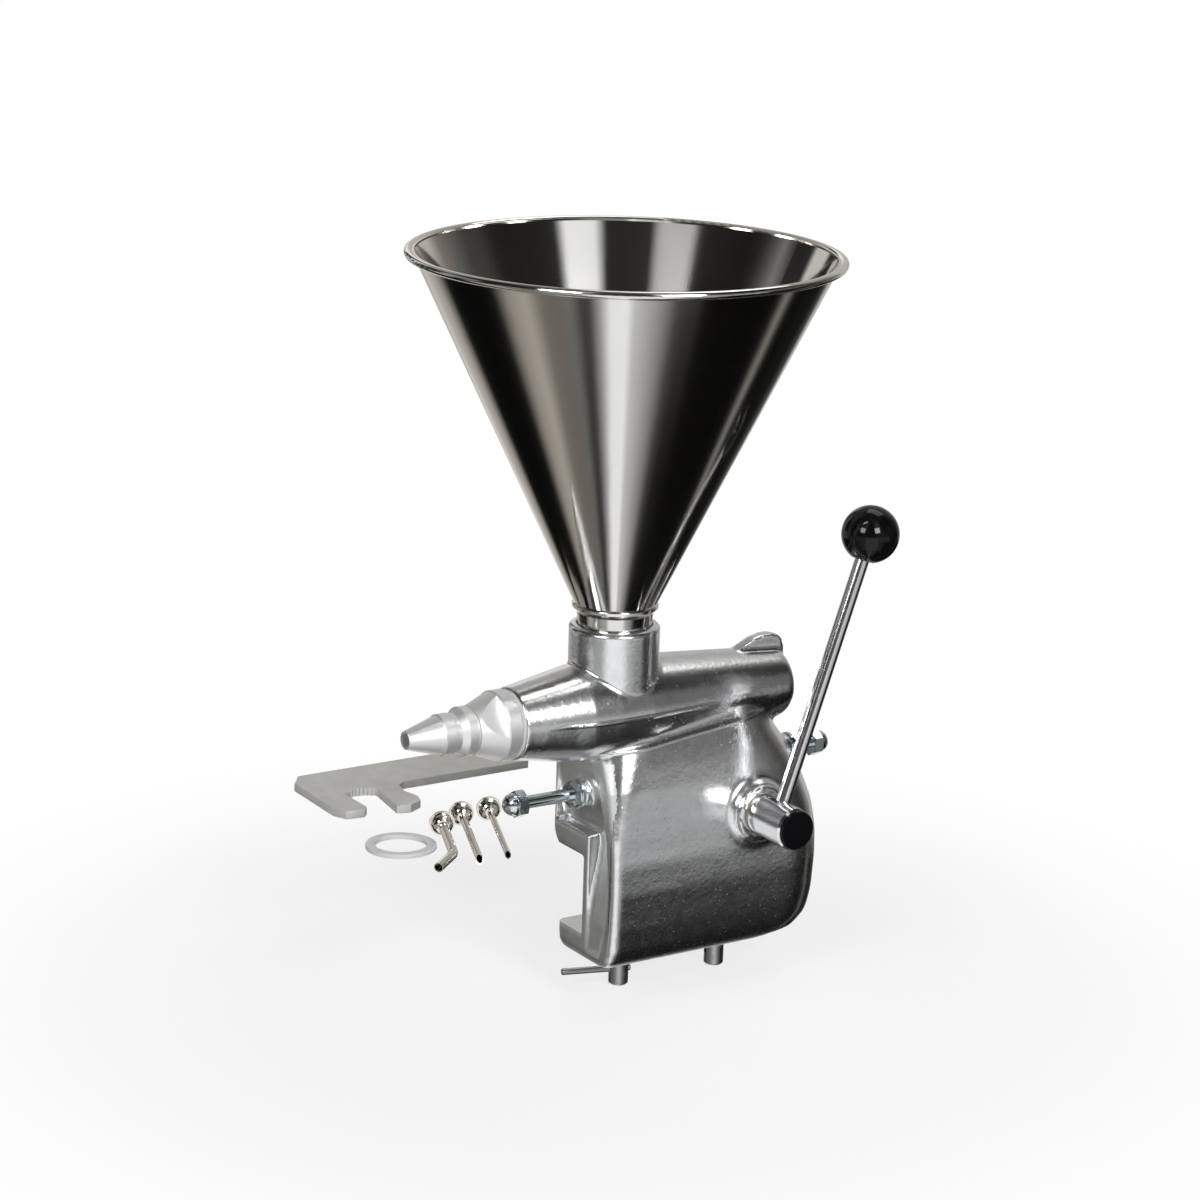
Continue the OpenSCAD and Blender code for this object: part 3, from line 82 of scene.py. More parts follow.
def share_of(*shares: float) -> float:
    """The smallest of some shares, kept from 0 to 1."""
    return max(0.0, min(1.0, *shares))


def within(ends: Pair, fades: Pair, along: float) -> float:
    """Share of a line that is left at a place near its ends, where it fades."""
    return share_of((along - ends[0]) / fades[0], (ends[1] - along) / fades[1])


def height_on(line: Line, along: float) -> float:
    """Height of a line of straight stretches at a distance along it.

    Args:
        line: Distance and height of its corners, in millimetres.
        along: The distance, in metres.

    Returns:
        The height there, in metres.
    """
    x = along / MM
    for (x0, z0), (x1, z1) in zip(line, line[1:]):
        if x <= x1:
            return (z0 + (z1 - z0) * (max(x, x0) - x0) / (x1 - x0)) * MM
    return line[-1][1] * MM


class Hand:
    """The everyday moves of a modeller: select, add, shape and finish."""

    @staticmethod
    def release() -> None:
        """Leaves edit mode and deselects every object."""
        if bpy.context.object is not None and bpy.context.object.mode != "OBJECT":
            bpy.ops.object.mode_set(mode="OBJECT")
        for thing in bpy.data.objects:
            thing.select_set(False)

    @staticmethod
    def take(piece: Piece) -> None:
        """Makes one object the only selected and active one.

        Args:
            piece: The object to work on.
        """
        Hand.release()
        piece.select_set(True)
        bpy.context.view_layer.objects.active = piece

    @staticmethod
    def modify(piece: Piece, kind: str, **settings: object) -> None:
        """Adds a modifier, sets it and applies it.

        Args:
            piece: The object that is shaped.
            kind: The modifier's type.
            settings: The modifier's values by name.
        """
        Hand.take(piece)
        bpy.ops.object.modifier_add(type=kind)
        modifier = piece.modifiers[-1]
        for key, value in settings.items():
            setattr(modifier, key, value)
        bpy.ops.object.modifier_apply(modifier=modifier.name)

    @staticmethod
    def settle(piece: Piece, angle: float) -> None:
        """Puts a piece's place into its mesh and shades it smooth below an angle.

        Args:
            piece: The finished piece.
            angle: The sharpest angle that stays smooth, in degrees.
        """
        Hand.take(piece)
        bpy.ops.object.transform_apply(location=True, rotation=True, scale=True)
        bpy.ops.object.shade_smooth_by_angle(angle=math.radians(angle))
        Hand.release()

    @staticmethod
    def copy_of(node: str, name: str) -> Piece:
        """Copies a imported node's mesh to a new piece and merges its loose triangles.

        Args:
            node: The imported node.
            name: The new piece's name.

        Returns:
            The new piece.
        """
        source = bpy.data.objects[node]
        piece = bpy.data.objects.new(name, source.data.copy())
        bpy.context.scene.collection.objects.link(piece)
        piece.data.materials.clear()
        Hand.take(piece)
        bpy.ops.object.mode_set(mode="EDIT")
        bpy.ops.mesh.select_all(action="SELECT")
        bpy.ops.mesh.remove_doubles(threshold=0.01 * MM)
        bpy.ops.mesh.customdata_custom_splitnormals_clear()
        bpy.ops.object.mode_set(mode="OBJECT")
        return piece


class Wiring:
    """Adds nodes to one shader tree and joins them."""

    def __init__(self, tree: Tree) -> None:
        """Takes the tree to work on."""
        self.tree = tree

    def feed(self, socket: Socket, value: Value) -> None:
        """Links an input to another node's output, or sets it to a value.

        Args:
            socket: The input.
            value: The output, number or colour that it gets.
        """
        if isinstance(value, Socket):
            self.tree.links.new(value, socket)
        else:
            socket.default_value = value

    def node(self, kind: str, inputs: dict[str | int, Value] | None = None, **settings: object) -> bpy.types.Node:
        """Adds a node.

        Args:
            kind: The node's type.
            inputs: What its inputs get, by name or number.
            settings: Its other settings by name.

        Returns:
            The new node.
        """
        node = self.tree.nodes.new(kind)
        for key, value in settings.items():
            setattr(node, key, value)
        for key, value in (inputs or {}).items():
            self.feed(node.inputs[key], value)
        return node

    def calc(self, operation: str, *values: Value, use_clamp: bool = False) -> Socket:
        """Adds one step of arithmetic, if wished kept from 0 to 1, and returns its result."""
        node = self.node("ShaderNodeMath", dict(enumerate(values)), operation=operation, use_clamp=use_clamp)
        return node.outputs[0]

    def noise(self, **inputs: Value) -> Socket:
        """Adds soft noise with the given inputs and returns its level."""
        return self.node("ShaderNodeTexNoise", inputs).outputs["Fac"]

    def bump(self, **inputs: Value) -> Socket:
        """Adds a bump with the given inputs and returns its normal."""
        return self.node("ShaderNodeBump", inputs).outputs["Normal"]

    def mixed(self, share: Value, first: Value, second: Value) -> Socket:
        """Mixes two colours, with the given share of the second, and returns the result."""
        return self.node("ShaderNodeMix", {0: share, 6: first, 7: second}, data_type="RGBA").outputs[2]

    def step(self, value: Socket, start: float, end: float, low: float = 0.0, high: float = 1.0) -> Socket:
        """Adds a smooth step from a low level at the value's start to a high one at its end, and returns it."""
        inputs = {"Value": value, "From Min": start, "From Max": end, "To Min": low, "To Max": high}
        return self.node("ShaderNodeMapRange", inputs, interpolation_type="SMOOTHSTEP").outputs["Result"]


class Effect(Wiring):
    """A node group that several finishes share, from a place and numbers to heights, masks or normals."""

    def __init__(self, name: str, inputs: dict[str, float], outputs: dict[str, str]) -> None:
        """Starts the group.

        Args:
            name: The group's name.
            inputs: Default of each number that it takes beside the place.
            outputs: Socket type of each output.
        """
        super().__init__(bpy.data.node_groups.new(name, "ShaderNodeTree"))
        sockets = self.tree.interface
        sockets.new_socket(name="Vector", in_out="INPUT", socket_type="NodeSocketVector")
        for key, value in inputs.items():
            socket = sockets.new_socket(name=key, in_out="INPUT", socket_type="NodeSocketFloat")
            socket.default_value = value
        for key, kind in outputs.items():
            sockets.new_socket(name=key, in_out="OUTPUT", socket_type=kind)
        self.given = self.tree.nodes.new("NodeGroupInput").outputs
        self.result = self.tree.nodes.new("NodeGroupOutput").inputs

    def give(self, **results: Socket) -> Tree:
        """Joins the group's outputs.

        Args:
            results: What each output gives.

        Returns:
            The finished group.
        """
        for key, value in results.items():
            self.feed(self.result[key], value)
        return self.tree


@dataclass
class Effects:
    """Every shared effect, built once."""

    middle: float = 0.5
    hair_lays: Line = ((0.5, 3.0), (-0.9, 11.0), (1.4, 23.0))
    hair_turns: Point = (1.0, 1.7, 0.6)
    hair_shifts: Point = (1.0, 0.3, -1.0)
    hair_squeeze: Point = (1.0, 0.12, 1.0)
    hair_gaps: float = 0.6

    def __post_init__(self) -> None:
        """Builds the effects."""
        self.marks = self._marks()
        self.pits = self._pits()
        self.scratches = self._scratches()
        self.smudges = self._smudges()

    def _marks(self) -> Tree:
        """Tool marks: noise squeezed along chosen directions by the place it is given."""
        effect = Effect("tool marks", {"Depth": 0.1, "Spread": 0.1},
                        {"Normal": "NodeSocketVector", "Mask": "NodeSocketFloat"})
        fine = effect.noise(Vector=effect.given["Vector"], Scale=1.0, Detail=4.0, Roughness=0.65)
        normal = effect.bump(Height=fine, Strength=effect.given["Depth"], Distance=0.2 * MM)
        mask = effect.calc("MULTIPLY", effect.calc("SUBTRACT", fine, self.middle), effect.given["Spread"])
        return effect.give(Normal=normal, Mask=mask)

    @staticmethod
    def _pits() -> Tree:
        """Casting pits: small dimples scattered by cell noise, in patches."""
        effect = Effect("casting pits", {"Scale": 600.0, "Share": 0.25},
                        {"Height": "NodeSocketFloat", "Mask": "NodeSocketFloat"})
        place, share = effect.given["Vector"], effect.given["Share"]
        cells = effect.node("ShaderNodeTexVoronoi", {"Vector": place, "Scale": effect.given["Scale"]}, feature="F1")
        patch = effect.noise(Vector=place, Scale=55.0, Detail=3.0)
        inside = effect.calc("SUBTRACT", effect.calc("MULTIPLY", patch, share), cells.outputs["Distance"])
        depth = effect.calc("DIVIDE", inside, share, use_clamp=True)
        return effect.give(Height=effect.calc("SUBTRACT", 1.0, depth), Mask=depth)

    def _scratches(self) -> Tree:
        """Short hair scratches in three directions, as a mask from 0 to 1."""
        effect = Effect("hair scratches", {"Scale": 60.0, "Width": 0.06}, {"Mask": "NodeSocketFloat"})
        total = None
        for turn, seed in self.hair_lays:
            lay = effect.node("ShaderNodeMapping", {
                "Vector": effect.given["Vector"], "Rotation": [turn * share for share in self.hair_turns],
                "Location": [seed * share for share in self.hair_shifts], "Scale": self.hair_squeeze,
            }).outputs["Vector"]
            cracks = effect.node("ShaderNodeTexVoronoi", {"Vector": lay, "Scale": effect.given["Scale"]},
                                 feature="DISTANCE_TO_EDGE")
            thin = effect.calc("LESS_THAN", cracks.outputs["Distance"], effect.given["Width"])
            kept = effect.calc("GREATER_THAN", effect.noise(Vector=lay, Scale=170.0, Detail=1.0), self.hair_gaps)
            hairs = effect.calc("MULTIPLY", thin, kept)
            total = hairs if total is None else effect.calc("MAXIMUM", total, hairs)
        return effect.give(Mask=total)

    def _smudges(self) -> Tree:
        """Uneven polish: a slow change from -0.5 to 0.5 over the surface."""
        effect = Effect("uneven polish", {"Scale": 18.0, "Amount": 0.1}, {"Mask": "NodeSocketFloat"})
        slow = effect.noise(Vector=effect.given["Vector"], Scale=effect.given["Scale"], Detail=5.0, Roughness=0.6)
        change = effect.calc("SUBTRACT", slow, self.middle)
        return effect.give(Mask=effect.calc("MULTIPLY", change, effect.given["Amount"]))


@dataclass(frozen=True)
class Grain:
    """Fine lines of a machined or brushed surface: how dense they lie along and around an axis, and how deep."""

    axis: Axis
    around: float
    along: float
    depth: float
    spread: float


def turned(axis: Axis, depth: float = 0.25, pitch: float = 2600.0) -> Grain:
    """Lathe marks: fine rings round an axis, so many to the metre."""
    return Grain(axis=axis, around=25.0, along=pitch, depth=depth, spread=0.1)


def drawn(axis: Axis, depth: float = 0.2) -> Grain:
    """Drawing marks: fine lines along an axis."""
    return Grain(axis=axis, around=2200.0, along=14.0, depth=depth, spread=0.12)


@dataclass
class Surface:
    """A material while it is made: its nodes, and its roughness and normal so far."""

    wiring: Wiring
    effects: Effects
    place: Socket
    shader: bpy.types.Node
    level: Socket | None = None
    normal: Socket | None = None

    def bump(self, height: Socket, strength: float, distance: float) -> None:
        """Bumps the normal so far.

        Args:
            height: The height of the bumps, from 0 to 1.
            strength: How much of them shows.
            distance: Their full height in metres.
        """
        inputs = {"Height": height, "Strength": strength, "Distance": distance}
        if self.normal is not None:
            inputs["Normal"] = self.normal
        self.normal = self.wiring.bump(**inputs)

    def effect(self, group: Tree, place: Socket | None = None, **values: float) -> bpy.types.Node:
        """Adds a shared effect, at the piece's own coordinates if no others are given, and returns its node."""
        inputs = {"Vector": self.place if place is None else place, **values}
        return self.wiring.node("ShaderNodeGroup", inputs, node_tree=group)


@dataclass(frozen=True)
class Finish:
    """One material: its plain values and the effects that vary it."""

    name: str
    color: Point
    metallic: float = 1.0
    roughness: float = 0.25
    change: float = 0.1
    change_scale: float = 18.0
    tint: float = 0.06
    tint_gain: float = 1.6
    grain: Grain | None = None
    centre: Point = (0.0, 0.0, 0.0)
    anisotropy: float = 0.0
    quarter_turn: float = 0.25
    pit_scale: float = 0.0
    pit_share: float = 0.3
    pit_depth: float = 0.0
    pit_height: float = 0.4 * MM
    pit_dullness: float = 0.25
    scratch: float = 0.0
    specular: float = 0.5
    transmission: float = 0.0
    subsurface: float = 0.0
    ripple: float = 0.0
    ripple_scale: float = 400.0
    ripple_height: float = 0.3 * MM
    smoothest: float = 0.03

    def make(self, effects: Effects) -> bpy.types.Material:
        """Builds the material.

        Args:
            effects: The shared effects.

        Returns:
            The finished material.
        """
        material = bpy.data.materials.new(self.name)
        material.use_nodes = True
        wiring = Wiring(material.node_tree)
        shader = material.node_tree.nodes["Principled BSDF"]
        for key, value in {
            "Base Color": (*self.color, 1.0), "Metallic": self.metallic, "Roughness": self.roughness,
            "Specular IOR Level": self.specular, "Transmission Weight": self.transmission,
            "Subsurface Weight": self.subsurface, "Subsurface Scale": 3 * MM,
        }.items():
            wiring.feed(shader.inputs[key], value)
        surface = Surface(wiring, effects, wiring.node("ShaderNodeTexCoord").outputs["Object"], shader)
        self._vary(surface)
        if self.grain is not None:
            self._mark(surface)
        if self.ripple > 0:
            bumps = wiring.noise(Vector=surface.place, Scale=self.ripple_scale, Detail=2.0, Roughness=0.5)
            surface.bump(bumps, self.ripple, self.ripple_height)
        if self.pit_depth > 0:
            self._pit(surface)
        if self.scratch > 0:
            hairs = surface.effect(effects.scratches).outputs["Mask"]
            surface.level = wiring.calc("MULTIPLY_ADD", hairs, self.scratch, surface.level)
        kept = wiring.node("ShaderNodeClamp", {"Value": surface.level, "Min": self.smoothest})
        wiring.feed(shader.inputs["Roughness"], kept.outputs[0])
        if surface.normal is not None:
            wiring.feed(shader.inputs["Normal"], surface.normal)
        return material

    def _vary(self, surface: Surface) -> None:
        """Varies the polish, and the colour slightly with it.

        Args:
            surface: The material so far.
        """
        wiring = surface.wiring
        smudge = surface.effect(surface.effects.smudges, Scale=self.change_scale, Amount=1.0).outputs["Mask"]
        surface.level = wiring.calc("MULTIPLY_ADD", smudge, self.change, self.roughness)
        dark = tuple(c * (1.0 - self.tint) for c in self.color)
        pale = tuple(min(1.0, c * (1.0 + self.tint)) for c in self.color)
        share = wiring.calc("MULTIPLY_ADD", smudge, self.tint_gain, 0.5, use_clamp=True)
        wiring.feed(surface.shader.inputs["Base Color"], wiring.mixed(share, (*dark, 1.0), (*pale, 1.0)))

    def _mark(self, surface: Surface) -> None:
        """Adds machined or brushed lines, and the smear that they give a reflection.

        Args:
            surface: The material so far.
        """
        wiring, grain = surface.wiring, self.grain
        scale = [grain.around] * 3
        scale[grain.axis.value] = grain.along
        shift = [-c * s for c, s in zip(self.centre, scale)]
        lay = wiring.node("ShaderNodeMapping", {"Vector": surface.place, "Location": shift, "Scale": scale})
        marks = surface.effect(surface.effects.marks, lay.outputs["Vector"], Depth=grain.depth, Spread=grain.spread)
        surface.level = wiring.calc("ADD", surface.level, marks.outputs["Mask"])
        surface.normal = marks.outputs["Normal"]
        if self.anisotropy > 0:
            tangent = wiring.node("ShaderNodeTangent", direction_type="RADIAL", axis=grain.axis.name)
            wiring.feed(surface.shader.inputs["Tangent"], tangent.outputs[0])
            wiring.feed(surface.shader.inputs["Anisotropic"], self.anisotropy)
            wiring.feed(surface.shader.inputs["Anisotropic Rotation"], self.quarter_turn)

    def _pit(self, surface: Surface) -> None:
        """Adds pits, which are also duller.

        Args:
            surface: The material so far.
        """
        pits = surface.effect(surface.effects.pits, Scale=self.pit_scale, Share=self.pit_share)
        surface.bump(pits.outputs["Height"], self.pit_depth, self.pit_height)
        surface.level = surface.wiring.calc("MULTIPLY_ADD", pits.outputs["Mask"], self.pit_dullness, surface.level)


BARREL = (0.0, 0.0, 102 * MM)
SHAFT = (95 * MM, 0.0, 25 * MM)


class Finishes:
    """Every finish on the machine, by name."""

    def __init__(self) -> None:
        """Lists the finishes and makes their materials."""
        effects = Effects()
        listed = [
            Finish("cast aluminium", (0.80, 0.81, 0.82), roughness=0.23, change=0.05,
                   change_scale=140.0, tint=0.12, ripple=0.34, ripple_scale=300.0,
                   pit_scale=260.0, pit_share=0.26, pit_depth=0.35, scratch=0.02),
            Finish("as-cast aluminium", (0.82, 0.83, 0.83), roughness=0.44, change=0.12,
                   change_scale=60.0, tint=0.08, ripple=0.4, ripple_scale=420.0,
                   pit_scale=1300.0, pit_share=0.2, pit_depth=0.12),
            Finish("cover aluminium", (0.70, 0.71, 0.72), roughness=0.34, grain=drawn(Axis.X), scratch=0.1),
            Finish("cover screw steel", (0.70, 0.71, 0.73), roughness=0.24, grain=turned(Axis.Y)),
            Finish("bush bronze", (0.42, 0.35, 0.27), roughness=0.34, grain=turned(Axis.Y), centre=SHAFT),
            Finish("cross shaft steel", (0.72, 0.72, 0.74), roughness=0.16, grain=turned(Axis.Y), centre=SHAFT),
            Finish("washer steel", (0.68, 0.69, 0.71), roughness=0.26, grain=drawn(Axis.X), scratch=0.1),
            Finish("black oxide", (0.035, 0.035, 0.04), metallic=0.7, roughness=0.38,
                   pit_scale=2500.0, pit_share=0.4, pit_depth=0.1),
            Finish("rocker steel", (0.46, 0.47, 0.49), roughness=0.38, grain=drawn(Axis.Z), scratch=0.1),
            Finish("piston steel", (0.72, 0.72, 0.73), roughness=0.14, grain=turned(Axis.X), centre=BARREL),
            Finish("seal rubber", (0.025, 0.025, 0.028), metallic=0.0, roughness=0.5,
                   pit_scale=3000.0, pit_share=0.4, pit_depth=0.1),
            Finish("hub steel", (0.86, 0.86, 0.87), roughness=0.07, change=0.04,
                   grain=turned(Axis.Y, 0.06), centre=SHAFT, scratch=0.08),
            Finish("lever rod steel", (0.84, 0.84, 0.86), roughness=0.14, change=0.02,
                   change_scale=60.0, scratch=0.02),
            Finish("black knob", (0.004, 0.004, 0.005), metallic=0.0, roughness=0.06, change=0.02,
                   specular=0.28, pit_scale=900.0, pit_depth=0.01),
            Finish("bright zinc", (0.72, 0.79, 0.82), roughness=0.1, change=0.08,
                   grain=turned(Axis.X, 0.06), tint=0.1, scratch=0.08),
            Finish("clamp steel", (0.40, 0.41, 0.43), roughness=0.3, change=0.16,
                   grain=turned(Axis.Z, 0.2), scratch=0.15),
            Finish("pad steel", (0.38, 0.39, 0.41), roughness=0.36, change=0.14,
                   grain=turned(Axis.Z, 0.25), scratch=0.1),
            Finish("spun hopper steel", (0.78, 0.76, 0.72), roughness=0.10, change=0.03,
                   change_scale=9.0, tint=0.04, grain=Grain(Axis.Z, 6.0, 1500.0, 0.02, 0.04), anisotropy=0.85),
            Finish("spigot steel", (0.80, 0.79, 0.76), roughness=0.13, change=0.08,
                   grain=turned(Axis.Z, 0.2)),
            Finish("clear silicone", (0.77, 0.78, 0.79), metallic=0.0, roughness=0.3, transmission=0.2,
                   subsurface=0.1, tint=0.02, pit_scale=1500.0, pit_depth=0.05),
            Finish("nozzle aluminium", (0.90, 0.905, 0.91), metallic=0.85, roughness=0.46,
                   change=0.08, grain=turned(Axis.X, 0.3, 1900.0), centre=BARREL, tint=0.03),
            Finish("spanner aluminium", (0.74, 0.735, 0.70), metallic=0.5, roughness=0.5,
                   change=0.12, change_scale=60.0, tint=0.12,
                   pit_scale=1400.0, pit_share=0.5, pit_depth=0.3, scratch=0.1),
            Finish("spout steel", (0.80, 0.77, 0.71), roughness=0.08, change=0.06, scratch=0.05),
        ]
        self.materials = {finish.name: finish.make(effects) for finish in listed}

    def dress(self, piece: Piece, name: str) -> None:
        """Gives a whole piece one finish.

        Args:
            piece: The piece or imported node.
            name: The finish's name.
        """
        slots = piece.material_slots
        if not slots:
            piece.data.materials.append(self.materials[name])
        for slot in slots:
            slot.link = "OBJECT"
            slot.material = self.materials[name]
        LOG.info("%s: %s", piece.name, name)


@dataclass(frozen=True)
class MachinedFaces:
    """Where the casting was machined, which keeps its edges crisp."""

    neck_radius: float = 27.5 * MM
    neck_foot: float = 134 * MM
    nose_radius: float = 26 * MM
    nose_end: float = -79 * MM
    bore_radius: float = 22 * MM
    bore_ends: Pair = (-80 * MM, 134 * MM)
    bush_radius: float = 12.5 * MM
    slot_heights: Pair = (-58 * MM, 0.8 * MM)
    slot_side: float = -6 * MM
    cover_side: float = 36.5 * MM

    def hold(self, p: Vector, across: float, round_barrel: float, round_shaft: float) -> bool:
        """Tells whether a point is on a machined face.

        Args:
            p: The point.
            across: Its distance from the hopper's axis.
            round_barrel: Its distance from the barrel's axis.
            round_shaft: Its distance from the cross shaft's axis.

        Returns:
            True on a machined face.
        """
        neck = across < self.neck_radius and p.z > self.neck_foot
        nose = round_barrel < self.nose_radius and p.x < self.nose_end
        bore = round_barrel < self.bore_radius and self.bore_ends[0] < p.x < self.bore_ends[1]
        bush = round_shaft < self.bush_radius
        slot = self.slot_heights[0] < p.z < self.slot_heights[1] and p.y > self.slot_side
        return neck or nose or bore or bush or slot or p.y > self.cover_side


@dataclass(frozen=True)
class CastSkin:
    """Which parts of the casting are rounded, and in how many passes."""

    pass_strength: float = 0.5
    cast_passes: int = 6
    fillet_passes: int = 36
    flank_passes: int = 60
    shoulder_height: float = 87 * MM
    shoulder_reach: float = 13 * MM
    boss_round: float = 25 * MM
    boss_reach: float = 6 * MM
    boss_side: float = -34 * MM
    fillet_gain: float = 1.4
    flank_front: float = 28 * MM
    flank_hole: float = 27 * MM
    flank_top: float = 94 * MM
    flank_foot: float = -66 * MM
    flank_side: float = 20 * MM
    flank_fade: float = 8 * MM

    def fillet(self, p: Vector, round_shaft: float) -> float:
        """How much a point belongs to the roundings at the shoulder and the boss.

        Args:
            p: The point.
            round_shaft: Its distance from the cross shaft's axis.

        Returns:
            Its weight, not above 1.
        """
        shoulder = 1.0 - abs(p.z - self.shoulder_height) / self.shoulder_reach
        boss = 1.0 - abs(round_shaft - self.boss_round) / self.boss_reach if p.y < self.boss_side else 0.0
        return min(1.0, max(shoulder, boss) * self.fillet_gain)

    def flank(self, p: Vector, round_shaft: float) -> float:
        """How much a point belongs to the open flank, away from its borders.

        Args:
            p: The point.
            round_shaft: Its distance from the cross shaft's axis.

        Returns:
            Its weight, not above 1.
        """
        if abs(p.y) <= self.flank_side:
            return 0.0
        borders = (p.x - self.flank_front, round_shaft - self.flank_hole, self.flank_top - p.z, p.z - self.flank_foot)
        return min(1.0, min(borders) / self.flank_fade)


@dataclass(frozen=True)
class FlankLines:
    """The parting ridge and the shoulder line on each flank, and the cove between them."""

    ridge_height: float = 103.6 * MM
    ridge_rise: float = 0.75 * MM
    ridge_ends: Pair = (-68 * MM, 76 * MM)
    ridge_fades: Pair = (22 * MM, 24 * MM)
    crease: Line = ((-60, 76), (-30, 78), (5, 80.5), (41, 84.5), (106, 90.5), (125, 92))
    crease_rise: float = 0.45 * MM
    crease_ends: Pair = (-40 * MM, 116 * MM)
    crease_fades: Pair = (20 * MM, 20 * MM)
    width: float = 0.9 * MM
    cove_depth: float = 1.5 * MM
    cove_flat: float = 0.45
    cove_steps: Pair = (2 * MM, 2.5 * MM)
    refined: float = 3.5 * MM
    refined_ends: Pair = (-72 * MM, 118 * MM)
    refined_side: float = 21 * MM
    ends: Pair = (-70 * MM, 118 * MM)
    side: float = 20 * MM
    heights: Pair = (70 * MM, 110 * MM)

    def pass_near(self, p: Vector) -> bool:
        """True near one of the two lines, where finer faces are needed."""
        near = (abs(p.z - self.ridge_height) < self.refined
                or abs(p.z - height_on(self.crease, p.x)) < self.refined)
        return near and self.refined_ends[0] < p.x < self.refined_ends[1] and abs(p.y) > self.refined_side

    def rise_at(self, p: Vector) -> float:
        """How far the skin moves outward at a point.

        Args:
            p: The point.

        Returns:
            The move in metres, below zero in the cove.
        """
        if not (self.ends[0] < p.x < self.ends[1] and abs(p.y) > self.side and self.heights[0] < p.z < self.heights[1]):
            return 0.0
        down = self.ridge_height - p.z
        up = p.z - height_on(self.crease, p.x)
        ridge = within(self.ridge_ends, self.ridge_fades, p.x)
        crease = within(self.crease_ends, self.crease_fades, p.x)
        move = self.ridge_rise * ridge * math.exp(-((down / self.width) ** 2))
        move += self.crease_rise * crease * math.exp(-((up / self.width) ** 2))
        if down > 0 and up > 0:
            t = down / (down + up)
            share = max(ridge * (1.0 - t), crease * t)
            step = min(1.0, down / self.cove_steps[0]) * min(1.0, up / self.cove_steps[1])
            hollow = self.cove_flat + (1.0 - self.cove_flat) * math.sin(math.pi * t)
            move -= self.cove_depth * share * step * hollow
        return move


